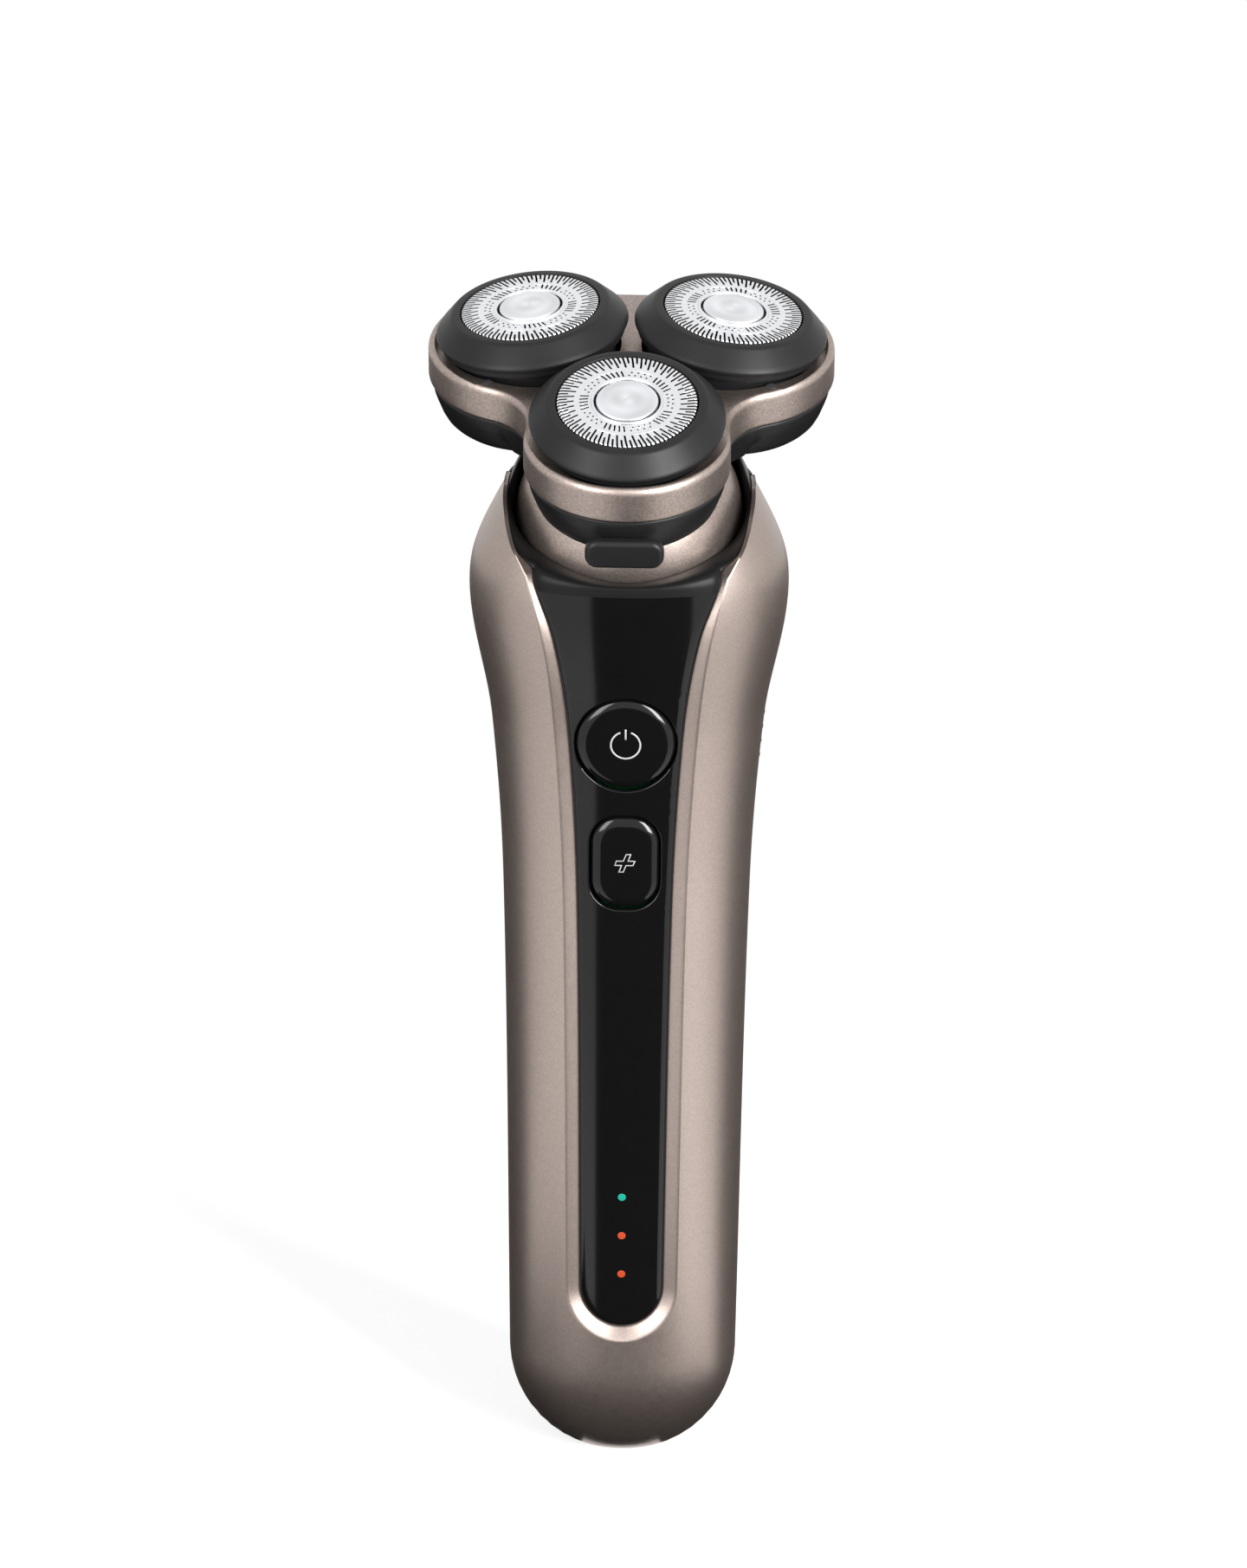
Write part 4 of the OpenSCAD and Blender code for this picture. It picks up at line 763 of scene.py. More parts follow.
class Fascia:
    """Half of the black panel, and of the collar that it runs into, for x above 0."""

    # Columns of the half panel and of the collar's rear, and height of the joint between them.
    columns, back_columns, joint = 14, 22, 0.1477
    # Gap to the casing, width and depth of the rounded edge, and inset of the collar's outside.
    gap, rounding, drop, tuck = 0.00012, 0.0011, 0.001, 0.0003
    # Margin and depth of the rows down into an opening.
    walls = ((0.0, 0.0016), (0.0, 0.00022), (0.00007, 0.00006), (0.0002, 0.0))
    # Rows out from an opening, and columns up the panel's edge beside it.
    opening_rows, opening_side = 12, 12
    # Rows over the collar's lip, and depths of the rows down into its cup.
    cup_rows, cup_depths = 14, (0.0, 0.0004, 0.0012, 0.003, 0.006)
    # Height of the collar's mouth at the front, and its rise to the side and to the rear.
    mouth, side_rise, rear_rise = 0.1481, 0.0049, 0.0055
    # Rise of the thin horn, and the angles in degrees over which it grows.
    horn_rise, horn_start, horn_span = 0.0045, 68, 32

    def __init__(self, shape, neck):
        self.shape, self.neck = shape, neck
        self.foot_radius = shape.lip_radius - shape.size.lip_width - self.gap

    def half(self, z):
        """Half width of the panel at a height."""
        low = max(self.shape.lip_centre - z, 0.0)
        full = self.shape.panel_half(z) - self.gap
        return full * sqrt(max(0.0, 1 - (low / self.foot_radius) ** 2))

    def point(self, x, z, extra=0.0):
        """Point of the panel's face, rounded down at its edge."""
        low = self.shape.lip_centre - z
        margin = self.half(z) - abs(x) if low <= 0 else self.foot_radius - hypot(x, low)
        near = min(max(1 - margin / self.rounding, 0.0), 1.0)
        inset = self.shape.size.panel_sink + self.drop * (1 - sqrt(1 - near * near)) + extra
        return Vector((x, self.shape.face_y(x, z) + inset, z))

    def on_row(self, column, z):
        return self.half(z) * sin(pi / 2 * column / self.columns), z

    def strip(self, bm, heights):
        """Rows of the panel at these heights."""

        def place(i, j):
            return self.point(*self.on_row(i, heights[j]))

        sheet(bm, self.columns + 1, len(heights), place)

    def opening(self, bm, low, high, hole):
        """The panel from low to high round an opening whose edge hole(angle, margin) gives."""
        border = [self.on_row(i, low) for i in range(self.columns)]
        side = steps_between(low, high, self.opening_side, 0)[:-1]
        border += [self.on_row(self.columns, z) for z in side]
        border += [self.on_row(i, high) for i in range(self.columns, -1, -1)]
        centre = hole(0, None)
        walls = self.walls

        def place(i, j):
            x, z = border[i]
            angle = atan2(z - centre[1], x - centre[0])
            if j < len(walls):
                margin, deep = walls[j]
                return self.point(*hole(angle, margin), deep)
            reach = 0.5 - 0.5 * cos(pi * (j - len(walls) + 1) / self.opening_rows)
            start = hole(angle, walls[-1][0])
            return self.point(mix(start[0], x, reach), mix(start[1], z, reach))

        sheet(bm, len(border), len(walls) + self.opening_rows, place)

    def collar_columns(self, lip):
        """Angle and first point of each column of the collar, from the front to the back."""
        found = []
        for i in range(self.columns + 1):
            start = self.point(*self.on_row(i, self.joint))
            found.append((atan2(start.x, -start.y), start))
        for row in range(lip.round_rows, lip.rows):
            foot = lip.foot_point(row)
            if foot.z > self.joint + 0.0004:
                found.append((atan2(foot.x, -foot.y), foot - outward(foot) * self.gap))
        for angle in steps_between(found[-1][0], pi, self.back_columns):
            start = self.shape.at(self.shape.land_side + 0.00002, angle, self.tuck)
            found.append((angle, start))
        return found

    def cup_edge(self, angle):
        """Height of the collar's mouth round the ball."""
        front = self.mouth + self.side_rise * sin(min(angle, pi / 2)) ** 2
        return front + self.rear_rise * ease((degrees(angle) - 70) / 30)

    def collar(self, bm, lip):
        """The collar's lip, which rises to a thin horn at each side, and its cup round the ball."""
        columns = self.collar_columns(lip)
        radius = self.neck.ball_radius + self.neck.ball_gap
        rows = self.cup_rows

        def on_cup(angle, z):
            reach = sqrt(radius * radius - (z - self.neck.pivot_height) ** 2)
            return round_handle(reach, angle, z)

        def place(i, j):
            angle, start = columns[i]
            edge = self.cup_edge(angle)
            if j >= rows:
                return on_cup(angle, edge - 0.0002 - self.cup_depths[j - rows])
            mouth = on_cup(angle, edge)
            horn = ease((degrees(angle) - self.horn_start) / self.horn_span)
            first = over = Vector((start.x, start.y, max(edge, start.z) + 0.0002))
            second = mix(over, mouth, 0.5)
            if horn > 0:
                top = start.z + self.horn_rise * horn
                first = mix(over, self.shape.at(top, angle, self.tuck), horn)
                second = mix(second, self.shape.at(top, angle, 3 * self.tuck), horn)
            t = j / (rows - 1)
            u = 1 - t
            return start * u**3 + first * 3 * t * u**2 + second * 3 * t * t * u + mouth * t**3

        sheet(bm, len(columns), rows + len(self.cup_depths), place)


class SHAVER_OT_fascia(bpy.types.Operator):
    """Gloss black panel with its key openings, in one with the collar"""

    bl_idname = "shaver.fascia"
    bl_label = "Panel and Collar"

    # Heights between which the panel is laid out round each key.
    boost_zone, power_zone = (0.0935, 0.1115), (0.1128, 0.1312)

    def execute(self, context):
        scene = context.scene
        keys = scene.shaver_keys
        shape = Handle(scene.shaver_handle)
        fascia = Fascia(shape, scene.shaver_neck)

        def hole(height, reach):
            """Edge of an opening, for half of which x is above 0."""
            key = shape.on_panel(height)

            def edge(angle, margin):
                far = 0.0 if margin is None else reach(angle, keys.key_gap + margin)
                spot = key @ polar(far, angle)
                return max(spot.x, 0.0), spot.z

            return edge

        def round_reach(angle, grow):
            return keys.power_radius + grow

        def long_reach(angle, grow):
            return pill_reach(angle, keys.boost_width / 2 + grow, keys.boost_length / 2 + grow)

        bm = bmesh.new()
        (low, high), (next_low, next_high) = self.boost_zone, self.power_zone
        centre = shape.lip_centre
        heights = [centre - fascia.foot_radius * cos(pi / 2 * k / 14) for k in range(15)]
        fascia.strip(bm, heights + steps_between(centre, low, 40))
        fascia.opening(bm, low, high, hole(keys.boost_height, long_reach))
        fascia.strip(bm, [high, next_low])
        fascia.opening(bm, next_low, next_high, hole(keys.power_height, round_reach))
        fascia.strip(bm, steps_between(next_high, fascia.joint, 14, 0))
        fascia.collar(bm, Lip(shape))
        mirrored(bm)
        replaced = ("front_panel", "neck_collar")
        skin = piece("panel_and_collar", bm, "gloss_black", "handle", replaced, 50)
        skin.data.materials.append(finishes()["collar_black"])
        for face in skin.data.polygons:
            face.material_index = 1 if face.center.z > fascia.joint - 0.0007 else 0
        thicken(skin, 0.00025)
        return {"FINISHED"}


# ---- Rear


class SHAVER_OT_rear(bpy.types.Operator):
    """Rear shell and the ribbed rubber grip let into it"""

    bl_idname = "shaver.rear"
    bl_label = "Rear Shell and Grip"

    # Heights of the grip's ends and of the lowest rib, and the gap round the grip.
    grip_foot, grip_head, rib_foot, gap = 0.030, 0.1408, 0.1135, 0.00012
    # Distances of the rows beside the grip's ends, and rows across each rib.
    edge_rows = (0.00008, 0.0002, 0.0004)
    rows_per_rib = 14
    # Columns of each skin, and the turn that it stays clear of the front casing.
    shell_columns, shell_gap = 30, radians(0.35)
    grip_columns, grip_gap = 34, radians(0.7)

    def execute(self, context):
        size = context.scene.shaver_handle
        shape = Handle(size)
        self.shell(shape, size)
        self.grip(shape, size)
        return {"FINISHED"}

    def shell(self, shape, size):
        start, columns = size.parting_angle + self.shell_gap, self.shell_columns
        low, high = self.grip_foot, self.grip_head
        runs = steps_between(shape.lowest, size.heel_height, 14, 0)
        runs += [*steps_between(size.heel_height, low, 4), low + 0.00001]
        runs += [*steps_between(low, high, 40)[:-1], high - 0.00001, high]
        runs += steps_between(high, shape.land_side, 8)

        def place(i, j):
            angle, run = mix(start, pi, i / (columns - 1)), runs[j]
            inset = size.grip_thickness + self.gap if low < run < high else 0.0
            return shape.at(shape.height(run), angle, inset or (self.gap if i == 0 else 0.0))

        bm = bmesh.new()
        sheet(bm, columns, len(runs), place)
        mirrored(bm)
        thicken(piece("rear_skin", bm, "satin_black", "handle", ("rear_shell",)), 0.0008)

    def grip(self, shape, size):
        start, columns = size.parting_angle + self.grip_gap, self.grip_columns
        low, high = self.grip_foot + self.gap, self.grip_head - self.gap
        first_rib = self.rib_foot - size.rib_pitch / 2
        last_rib = first_rib + size.rib_count * size.rib_pitch
        rows = [low, *(low + edge for edge in self.edge_rows)]
        rows += steps_between(low, first_rib, 26)
        rows += steps_between(first_rib, last_rib, size.rib_count * self.rows_per_rib)[:-1]
        rows += steps_between(last_rib, high, 5, 0)[:-1]
        rows += [*(high - edge for edge in reversed(self.edge_rows)), high]

        def rib(z):
            step = (z - self.rib_foot) / size.rib_pitch
            if not -0.5 < step < size.rib_count - 0.5:
                return 0.0
            rise = mix(0.8, 1, min(max(step / size.rib_count, 0), 1))
            return size.rib_rise * rise * max(0.0, cos(2 * pi * step)) ** 0.6

        def place(i, j):
            z, angle = rows[j], mix(start, pi, max((i - 1) / (columns - 2), 0.0))
            if i == 0:
                return shape.at(z, angle, size.grip_thickness)
            border = min(z - low, high - z, shape.radius(z, angle) * (angle - start) + 0.00006)
            edge = 0.00035 * (1 - min(border / self.edge_rows[-1], 1)) ** 2
            side = 1.25 - 0.25 * ease((angle - start) / 0.6)
            return shape.at(z, angle, edge - rib(z) * side)

        bm = bmesh.new()
        sheet(bm, columns, len(rows), place)
        mirrored(bm)
        thicken(piece("rubber_grip", bm, "soft_rubber", "handle", ("rear_grip",), 50), 0.0003)


# ---- Head


def wrapped(angle):
    """Size of an angle, turned back to between 0 and 180 degrees, in radians."""
    return abs((angle + pi) % (2 * pi) - pi)


class Outline:
    """The head's three-lobed outline."""

    # Turn from the front over which a level's own growth at the front fades out.
    front_spread = radians(26)

    def __init__(self, head):
        self.head = head
        self.lobes = [radians(bearing) for bearing in UNITS.values()]
        self.hollows = [
            (radians(90), head.rear_radius), (radians(-30), head.hollow_radius),
            (radians(210), head.hollow_radius),
        ]

    def centre(self, radius):
        """Distance of a hollow's centre from the head's axis."""
        reach = self.head.lobe_radius + radius
        across = self.head.unit_radius * sin(radians(60))
        return self.head.unit_radius / 2 + sqrt(reach * reach - across * across)

    def blend(self, radius):
        """Turn from a lobe's direction to where its hollow starts."""
        share = self.head.lobe_radius / (self.head.lobe_radius + radius)
        far = self.centre(radius)
        x = mix(self.head.unit_radius, far * 0.5, share)
        return atan2(far * sin(radians(60)) * share, x)

    def reach(self, angle, grown=0.0):
        """Distance of the outline from the axis, with the outline grown outward."""
        turned = min(wrapped(angle - lobe) for lobe in self.lobes)
        off, radius = min((wrapped(angle - bearing), radius) for bearing, radius in self.hollows)
        unit = self.head.unit_radius
        if turned < self.blend(radius):
            side = unit * sin(turned)
            lobe = self.head.lobe_radius + grown
            return unit * cos(turned) + sqrt(max(0.0, lobe**2 - side * side))
        far = self.centre(radius)
        return far * cos(off) - sqrt(max(0.0, (radius - grown) ** 2 - (far * sin(off)) ** 2))

    def directions(self, count):
        """Directions spaced evenly along the outline."""
        points = steps_between(0.0, 2 * pi, count * 8, 0)
        run = [0.0]
        for first, second in zip(points, points[1:]):
            a, b = self.reach(first), self.reach(second)
            run.append(run[-1] + hypot(b - a, (a + b) / 2 * (second - first)))
        found, k = [], 0
        for step in range(count):
            goal = run[-1] * step / count
            while run[k + 1] < goal:
                k += 1
            found.append(mix(points[k], points[k + 1], (goal - run[k]) / (run[k + 1] - run[k])))
        return found

    def loft(self, bm, levels, place, count, least):
        """Closed loft through (height, growth at the front, growth elsewhere) levels."""
        around = self.directions(count)

        def spot(i, j):
            angle = around[i % count]
            z, front, other = levels[j]
            share = ease(1 - wrapped(angle + pi / 2) / self.front_spread)
            return polar(max(self.reach(angle, mix(other, front, share)), least), angle, z)

        sheet(bm, count + 1, len(levels), spot)
        joined(bm, place, fill=True)


def bored(obj, cutters):
    """Cuts the cutters out of an object for good and removes them."""
    for cutter in cutters:
        cut = obj.modifiers.new("Bore", "BOOLEAN")
        cut.operation = "DIFFERENCE"
        cut.solver = "EXACT"
        cut.object = cutter
    evaluated = obj.evaluated_get(bpy.context.evaluated_depsgraph_get())
    shaped = bpy.data.meshes.new_from_object(evaluated)
    if not shaped.polygons:
        raise RuntimeError(f"{obj.name} lost all its faces when bored")
    obj.modifiers.clear()
    obj.data = shaped
    for cutter in cutters:
        bpy.data.objects.remove(cutter)


class SHAVER_OT_head(bpy.types.Operator):
    """Head shell under the band, and the band with its three tilted bores"""

    bl_idname = "shaver.head"
    bl_label = "Head Shell and Band"

    # Height, growth at the front and growth elsewhere, in millimetres.
    shell_levels = (
        (12.3, -7.4, -7.4), (12.45, -5.4, -5.8), (12.8, -3.8, -4.5), (13.2, -3.1, -3.6),
        (13.6, -2.6, -3.0), (14.0, -2.3, -2.55), (14.4, -2.1, -2.2), (14.9, -1.85, -1.95),
        (15.4, -1.6, -1.7), (16.4, -1.3, -1.35), (17.2, -1.05, -1.05), (18.0, -0.8, -0.8),
        (19.0, -0.62, -0.62), (19.6, -0.52, -0.52), (19.8, -0.75, -0.75), (19.82, -4.0, -4.0),
    )
    # Thickness of the band, height of its ceiling, and rounding of its edges.
    band_wall, band_ceiling = 0.00148, 0.02315
    band_foot_rounding, band_top_rounding = 0.0006, 0.0012
    # Shift along a unit's axis, radius and steps of the narrow hole below its bore.
    sleeve = (-0.008, 0.013, 128)
    # Length, shift, clearance and steps of the bore, and steps and least radius of each loft.
    bore_length, bore_shift, bore_gap, bore_steps = 0.012, 0.0001, 0.0005, 160
    shell_steps, shell_least = 216, 0.0125
    band_steps, band_least = 252, 0.005

    def execute(self, context):
        neck, head = context.scene.shaver_neck, context.scene.shaver_head
        outline = Outline(head)
        place = head_place(neck)
        bm = bmesh.new()
        levels = from_mm(self.shell_levels)
        outline.loft(bm, levels, place, self.shell_steps, self.shell_least)
        piece("head_skirt", bm, "satin_black", "head_base", ("head_shell",), 60)
        bm = bmesh.new()
        levels = [(z, grown, grown) for z, grown in self.band_levels(head)]
        outline.loft(bm, levels, place, self.band_steps, self.band_least)
        coarse = finishes()["taupe_coarse"]
        band = piece("head_band", bm, "taupe_metallic", "lid", ("head_frame",), 35, coarse)
        bore = (self.bore_shift, head.ring_radius + self.bore_gap, self.bore_steps)
        cutters = []
        for name, bearing in UNITS.items():
            spot = unit_place(neck, head, bearing)
            for shift, radius, steps in (bore, self.sleeve):
                bm = bmesh.new()
                rod(bm, moved(spot, 0, 0, shift), radius, self.bore_length, steps)
                cutters.append(mesh_object(f"bore_{name}", bm))
        bored(band, cutters)
        return {"FINISHED"}

    def band_levels(self, head):
        """Height and growth of the band's outline, from its ceiling down and up its outside."""
        low, high = head.split_height, head.top_height
        foot, top = self.band_foot_rounding, self.band_top_rounding
        levels = [(self.band_ceiling, -self.band_wall), (low, -self.band_wall), (low, -0.00055)]
        for k in range(5):
            turned = k * pi / 8
            levels.append((low + foot * (1 - cos(turned)), -0.0005 * (1 - sin(turned))))
        levels += [(z, 0.0) for z in steps_between(low + foot, high - top, 3)]
        for k in range(1, 7):
            turned = k * pi / 12
            levels.append((high - top * (1 - sin(turned)), -0.0007 * (1 - cos(turned))))
        return levels


class SHAVER_OT_latch(bpy.types.Operator):
    """Rounded release bar below the band"""

    bl_idname = "shaver.latch"
    bl_label = "Release Latch"

    # Half sizes and thickness of the bar, and rounding of its corners and of its front rim.
    half_width, half_height, thickness = 0.0058, 0.0023, 0.0015
    corner_radius, rim_radius = 0.0019, 0.0008
    # Forward reach and height of the bar's back from the swivel, along the head's own axes.
    forward, height = 0.0339, 0.0149

    def execute(self, context):
        wide, tall = self.half_width, self.half_height
        bm = bmesh.new()
        block(bm, (-wide, 0, -tall), (wide, self.thickness, tall))

        def soften(edges, offset, segments):
            bmesh.ops.bevel(
                bm, geom=edges, offset=offset, segments=segments, profile=0.5, affect="EDGES",
                material=-1,
            )

        corners = [e for e in bm.edges if abs(e.verts[0].co.y - e.verts[1].co.y) > 0.001]
        soften(corners, self.corner_radius, 10)
        soften([e for e in bm.edges if all(v.co.y < 1e-6 for v in e.verts)], self.rim_radius, 6)
        block(bm, (-0.0025, 0.0012, -0.0014), (0.0025, 0.0033, 0.0002))
        place = head_place(context.scene.shaver_neck)
        joined(bm, moved(place, 0, -self.forward, self.height))
        piece("latch_bar", bm, "satin_black", "latch", ("release_latch",), 45)
        return {"FINISHED"}


# ---- Shaving units


class SHAVER_OT_rings(bpy.types.Operator):
    """Soft rings round the three guards, each with the pins that it tilts on"""

    bl_idname = "shaver.rings"
    bl_label = "Soft Rings"

    # Radius and length of each pin, its distance from the axis and its depth below the face.
    pin_radius, pin_length, pin_reach, pin_depth = 0.0008, 0.0024, 0.0128, 0.0074

    def execute(self, context):
        neck, head = context.scene.shaver_neck, context.scene.shaver_head
        outer, bore = head.ring_radius * 1000, head.guard_radius * 1000 + 0.15
        lip = outer + 0.2
        front = [
            (bore, -2.4), (bore, -0.02), (bore + 0.25, 0.0), (lip - 2.7, -0.1), (lip - 0.3, -2.65),
            (lip, -3.2), (lip - 0.35, -3.7), (outer - 0.45, -3.8), (outer - 0.55, -4.7),
        ]
        back = [(12.1, -4.9), (12.1, -8.4), (11.2, -8.4), (11.2, -3.4), (bore, -3.4), (bore, -2.4)]
        profile = [*rounded(front, 0.42, 5), *back]
        rubber = finishes()["ring_rubber"]
        for name, bearing in UNITS.items():
            place = unit_place(neck, head, bearing)
            bm = bmesh.new()
            spun(bm, profile, place, 144)
            for side in (-self.pin_reach, self.pin_reach):
                pin = moved(place, 0, side, -self.pin_depth) @ Matrix.Rotation(pi / 2, 4, "X")
                rod(bm, pin, self.pin_radius, self.pin_length, 24)
            unit, replaced = f"unit_{name}", (f"ring_{name}",)
            piece(f"soft_ring_{name}", bm, "soft_rubber", unit, replaced, 35, rubber)
        return {"FINISHED"}


class Guard:
    """Grid of a shaving guard, with cells left open for its slots and dots."""

    # Columns in a fifth of the inner track, and lean of the slots from the radial direction.
    fifth, lean = 72, tan(radians(10))
    # Radius inside which columns turn no further, where they have no turn, and of the track's edge.
    inner_least, lean_radius, inner_edge = 0.0053, 0.009, 0.0072
    # Columns left between one slot or dot of the inner track and the next.
    spare = (5, 5, 5, 5, 6, 2, 2, 2, 2, 2, 2, 2, 6)
    # Radii, in millimetres, between which a slot or dot of each kind is open.
    open_rows = {"slot": (5.75, 7.05), "even": (5.9, 6.2), "odd": (6.6, 6.9)}

    def __init__(self, head):
        self.half_slot = head.slot_width / 2
        self.pitch = 2 * pi / head.slot_count
        self.columns = head.slot_count * 4
        outer, cap = head.guard_radius * 1000, head.cap_radius * 1000
        inner = [
            (cap + 0.26, -0.5), (cap + 0.27, -0.2), (cap + 0.3, 0.05), (cap + 0.38, 0.2),
            (cap + 0.5, 0.29), (cap + 0.6, 0.3), (cap + 0.7, 0.29), (cap + 0.78, 0.2),
            (cap + 0.85, 0.0), (5.6, 0), (5.75, 0), (5.9, 0), (6.2, 0), (6.6, 0), (6.9, 0),
            (7.05, 0), (7.18, 0),
        ]
        rim = [
            (7.28, 0), (7.5, 0), (7.74, 0), (7.85, 0), (8.85, 0), (9.4, 0), (outer - 0.5, 0),
            (outer - 0.4, 0), (outer - 0.25, -0.02), (outer - 0.12, -0.08), (outer - 0.03, -0.2),
            (outer, -0.36), (outer, -3.45), (outer + 0.7, -3.45),
        ]
        self.inner_rows = len(inner)
        self.rows = from_mm(inner + rim)
        self.marks = self.inner_marks()

    def inner_marks(self):
        """Columns of one fifth of the inner track: angle, next angle, share or side, and kind."""
        features = [(6.4 * k, "slot") for k in range(-2, 3)]
        features += [(36 + 4.2 * (k - 0.5), "odd" if k % 2 else "even") for k in range(-3, 5)]
        marks = []
        ends = [*features[1:], (features[0][0] + 72, "")]
        for (angle, kind), (following, _), spare in zip(features, ends, self.spare):
            marks += [(angle, angle, -1, kind), (angle, angle, 1, "land")]
            marks += [(angle, following, (k + 1) / (spare + 1), "between") for k in range(spare)]
        return marks

    def angle(self, i, radius):
        """Direction of a column at a radius, leaning as it goes outward."""
        wide = self.half_slot / max(radius, self.inner_least)
        turned = self.lean * log(max(radius, self.inner_least) / self.lean_radius)
        if radius > self.inner_edge:
            step, part = divmod(i, 4)
            free = self.pitch - wide
            offset = (-wide, wide, mix(wide, free, 1 / 3), mix(wide, free, 2 / 3))[part]
            return step * self.pitch + offset + turned
        group, part = divmod(i + 1, self.fifth)
        first, second, side, kind = self.marks[part]
        if kind == "between":
            middle = mix(radians(first) + wide, radians(second) - wide, side)
        else:
            middle = radians(first) + side * wide * (0.9 if -20 < first < 20 else 0.85)
        return group * 2 * pi / 5 + middle + turned - radians(12)

    def place(self, i, j):
        radius, z = self.rows[j]
        return polar(radius, self.angle(i % self.columns, radius), z)

    def open_at(self, i, j):
        """Whether a cell is a slot, a dot or under the ridge between the tracks."""
        low = self.rows[j][0] * 1000 + 0.001
        if j == self.inner_rows - 1:
            return True
        if j >= self.inner_rows:
            step, part = divmod(i, 4)
            start = 8.85 if step % 2 else 7.85
            return part == 0 and start < low and self.rows[j][1] > -0.00025
        start, end = self.open_rows.get(self.marks[(i + 1) % self.fifth][3], (0, 0))
        return start < low < end


class SHAVER_OT_guards(bpy.types.Operator):
    """Slotted metal guards with their raised rings and centre caps"""

    bl_idname = "shaver.guards"
    bl_label = "Guards and Caps"

    # Radius and height along the raised ring between the two tracks, in millimetres.
    ridge = (
        (7.06, -0.25), (7.06, 0.015), (7.25, 0.045), (7.4, 0.07), (7.55, 0.045), (7.74, 0.015),
        (7.74, -0.25), (7.06, -0.25),
    )

    def execute(self, context):
        neck, head = context.scene.shaver_neck, context.scene.shaver_head
        guard = Guard(head)
        cap = head.cap_radius * 1000
        dome = [(0, 0.5), (cap * 0.6, 0.45), (cap - 0.2, 0.34), (cap, 0.1), (cap, -0.4)]
        dome = [*rounded(dome, 0.3, 3), (0, -0.4)]
        steel = context.scene.shaver_finish.steel
        for name, bearing in UNITS.items():
            place, unit = unit_place(neck, head, bearing), f"unit_{name}"
            bm = bmesh.new()
            sheet(bm, guard.columns + 1, len(guard.rows), guard.place, guard.open_at)
            joined(bm, place, inside=lambda middle: Vector((0, 0, -0.01)))
            foil = piece(f"guard_foil_{name}", bm, "guard_steel", unit, (f"guard_{name}",), 28)
            # The wall's inner side and the slots' walls take painted shade in near-black; the guard
            # is steel throughout.
            foil.data.materials.append(finishes()["slot_dark"])
            wall = thicken(foil, 0.0003)
            wall.material_offset = wall.material_offset_rim = 1
            bm = bmesh.new()
            spun(bm, self.ridge, place, 128)
            piece(f"guard_ridge_{name}", bm, "guard_steel", unit, (), 50)
            bm = bmesh.new()
            spun(bm, dome, place, 96)
            finish = turned_metal(f"turned_cap_{name}", steel, 0.3, place, 0.05)
            piece(f"turned_cap_{name}", bm, "cap_silver", unit, (f"cap_{name}",), 35, finish)
        return {"FINISHED"}


# ---- Keys and lights


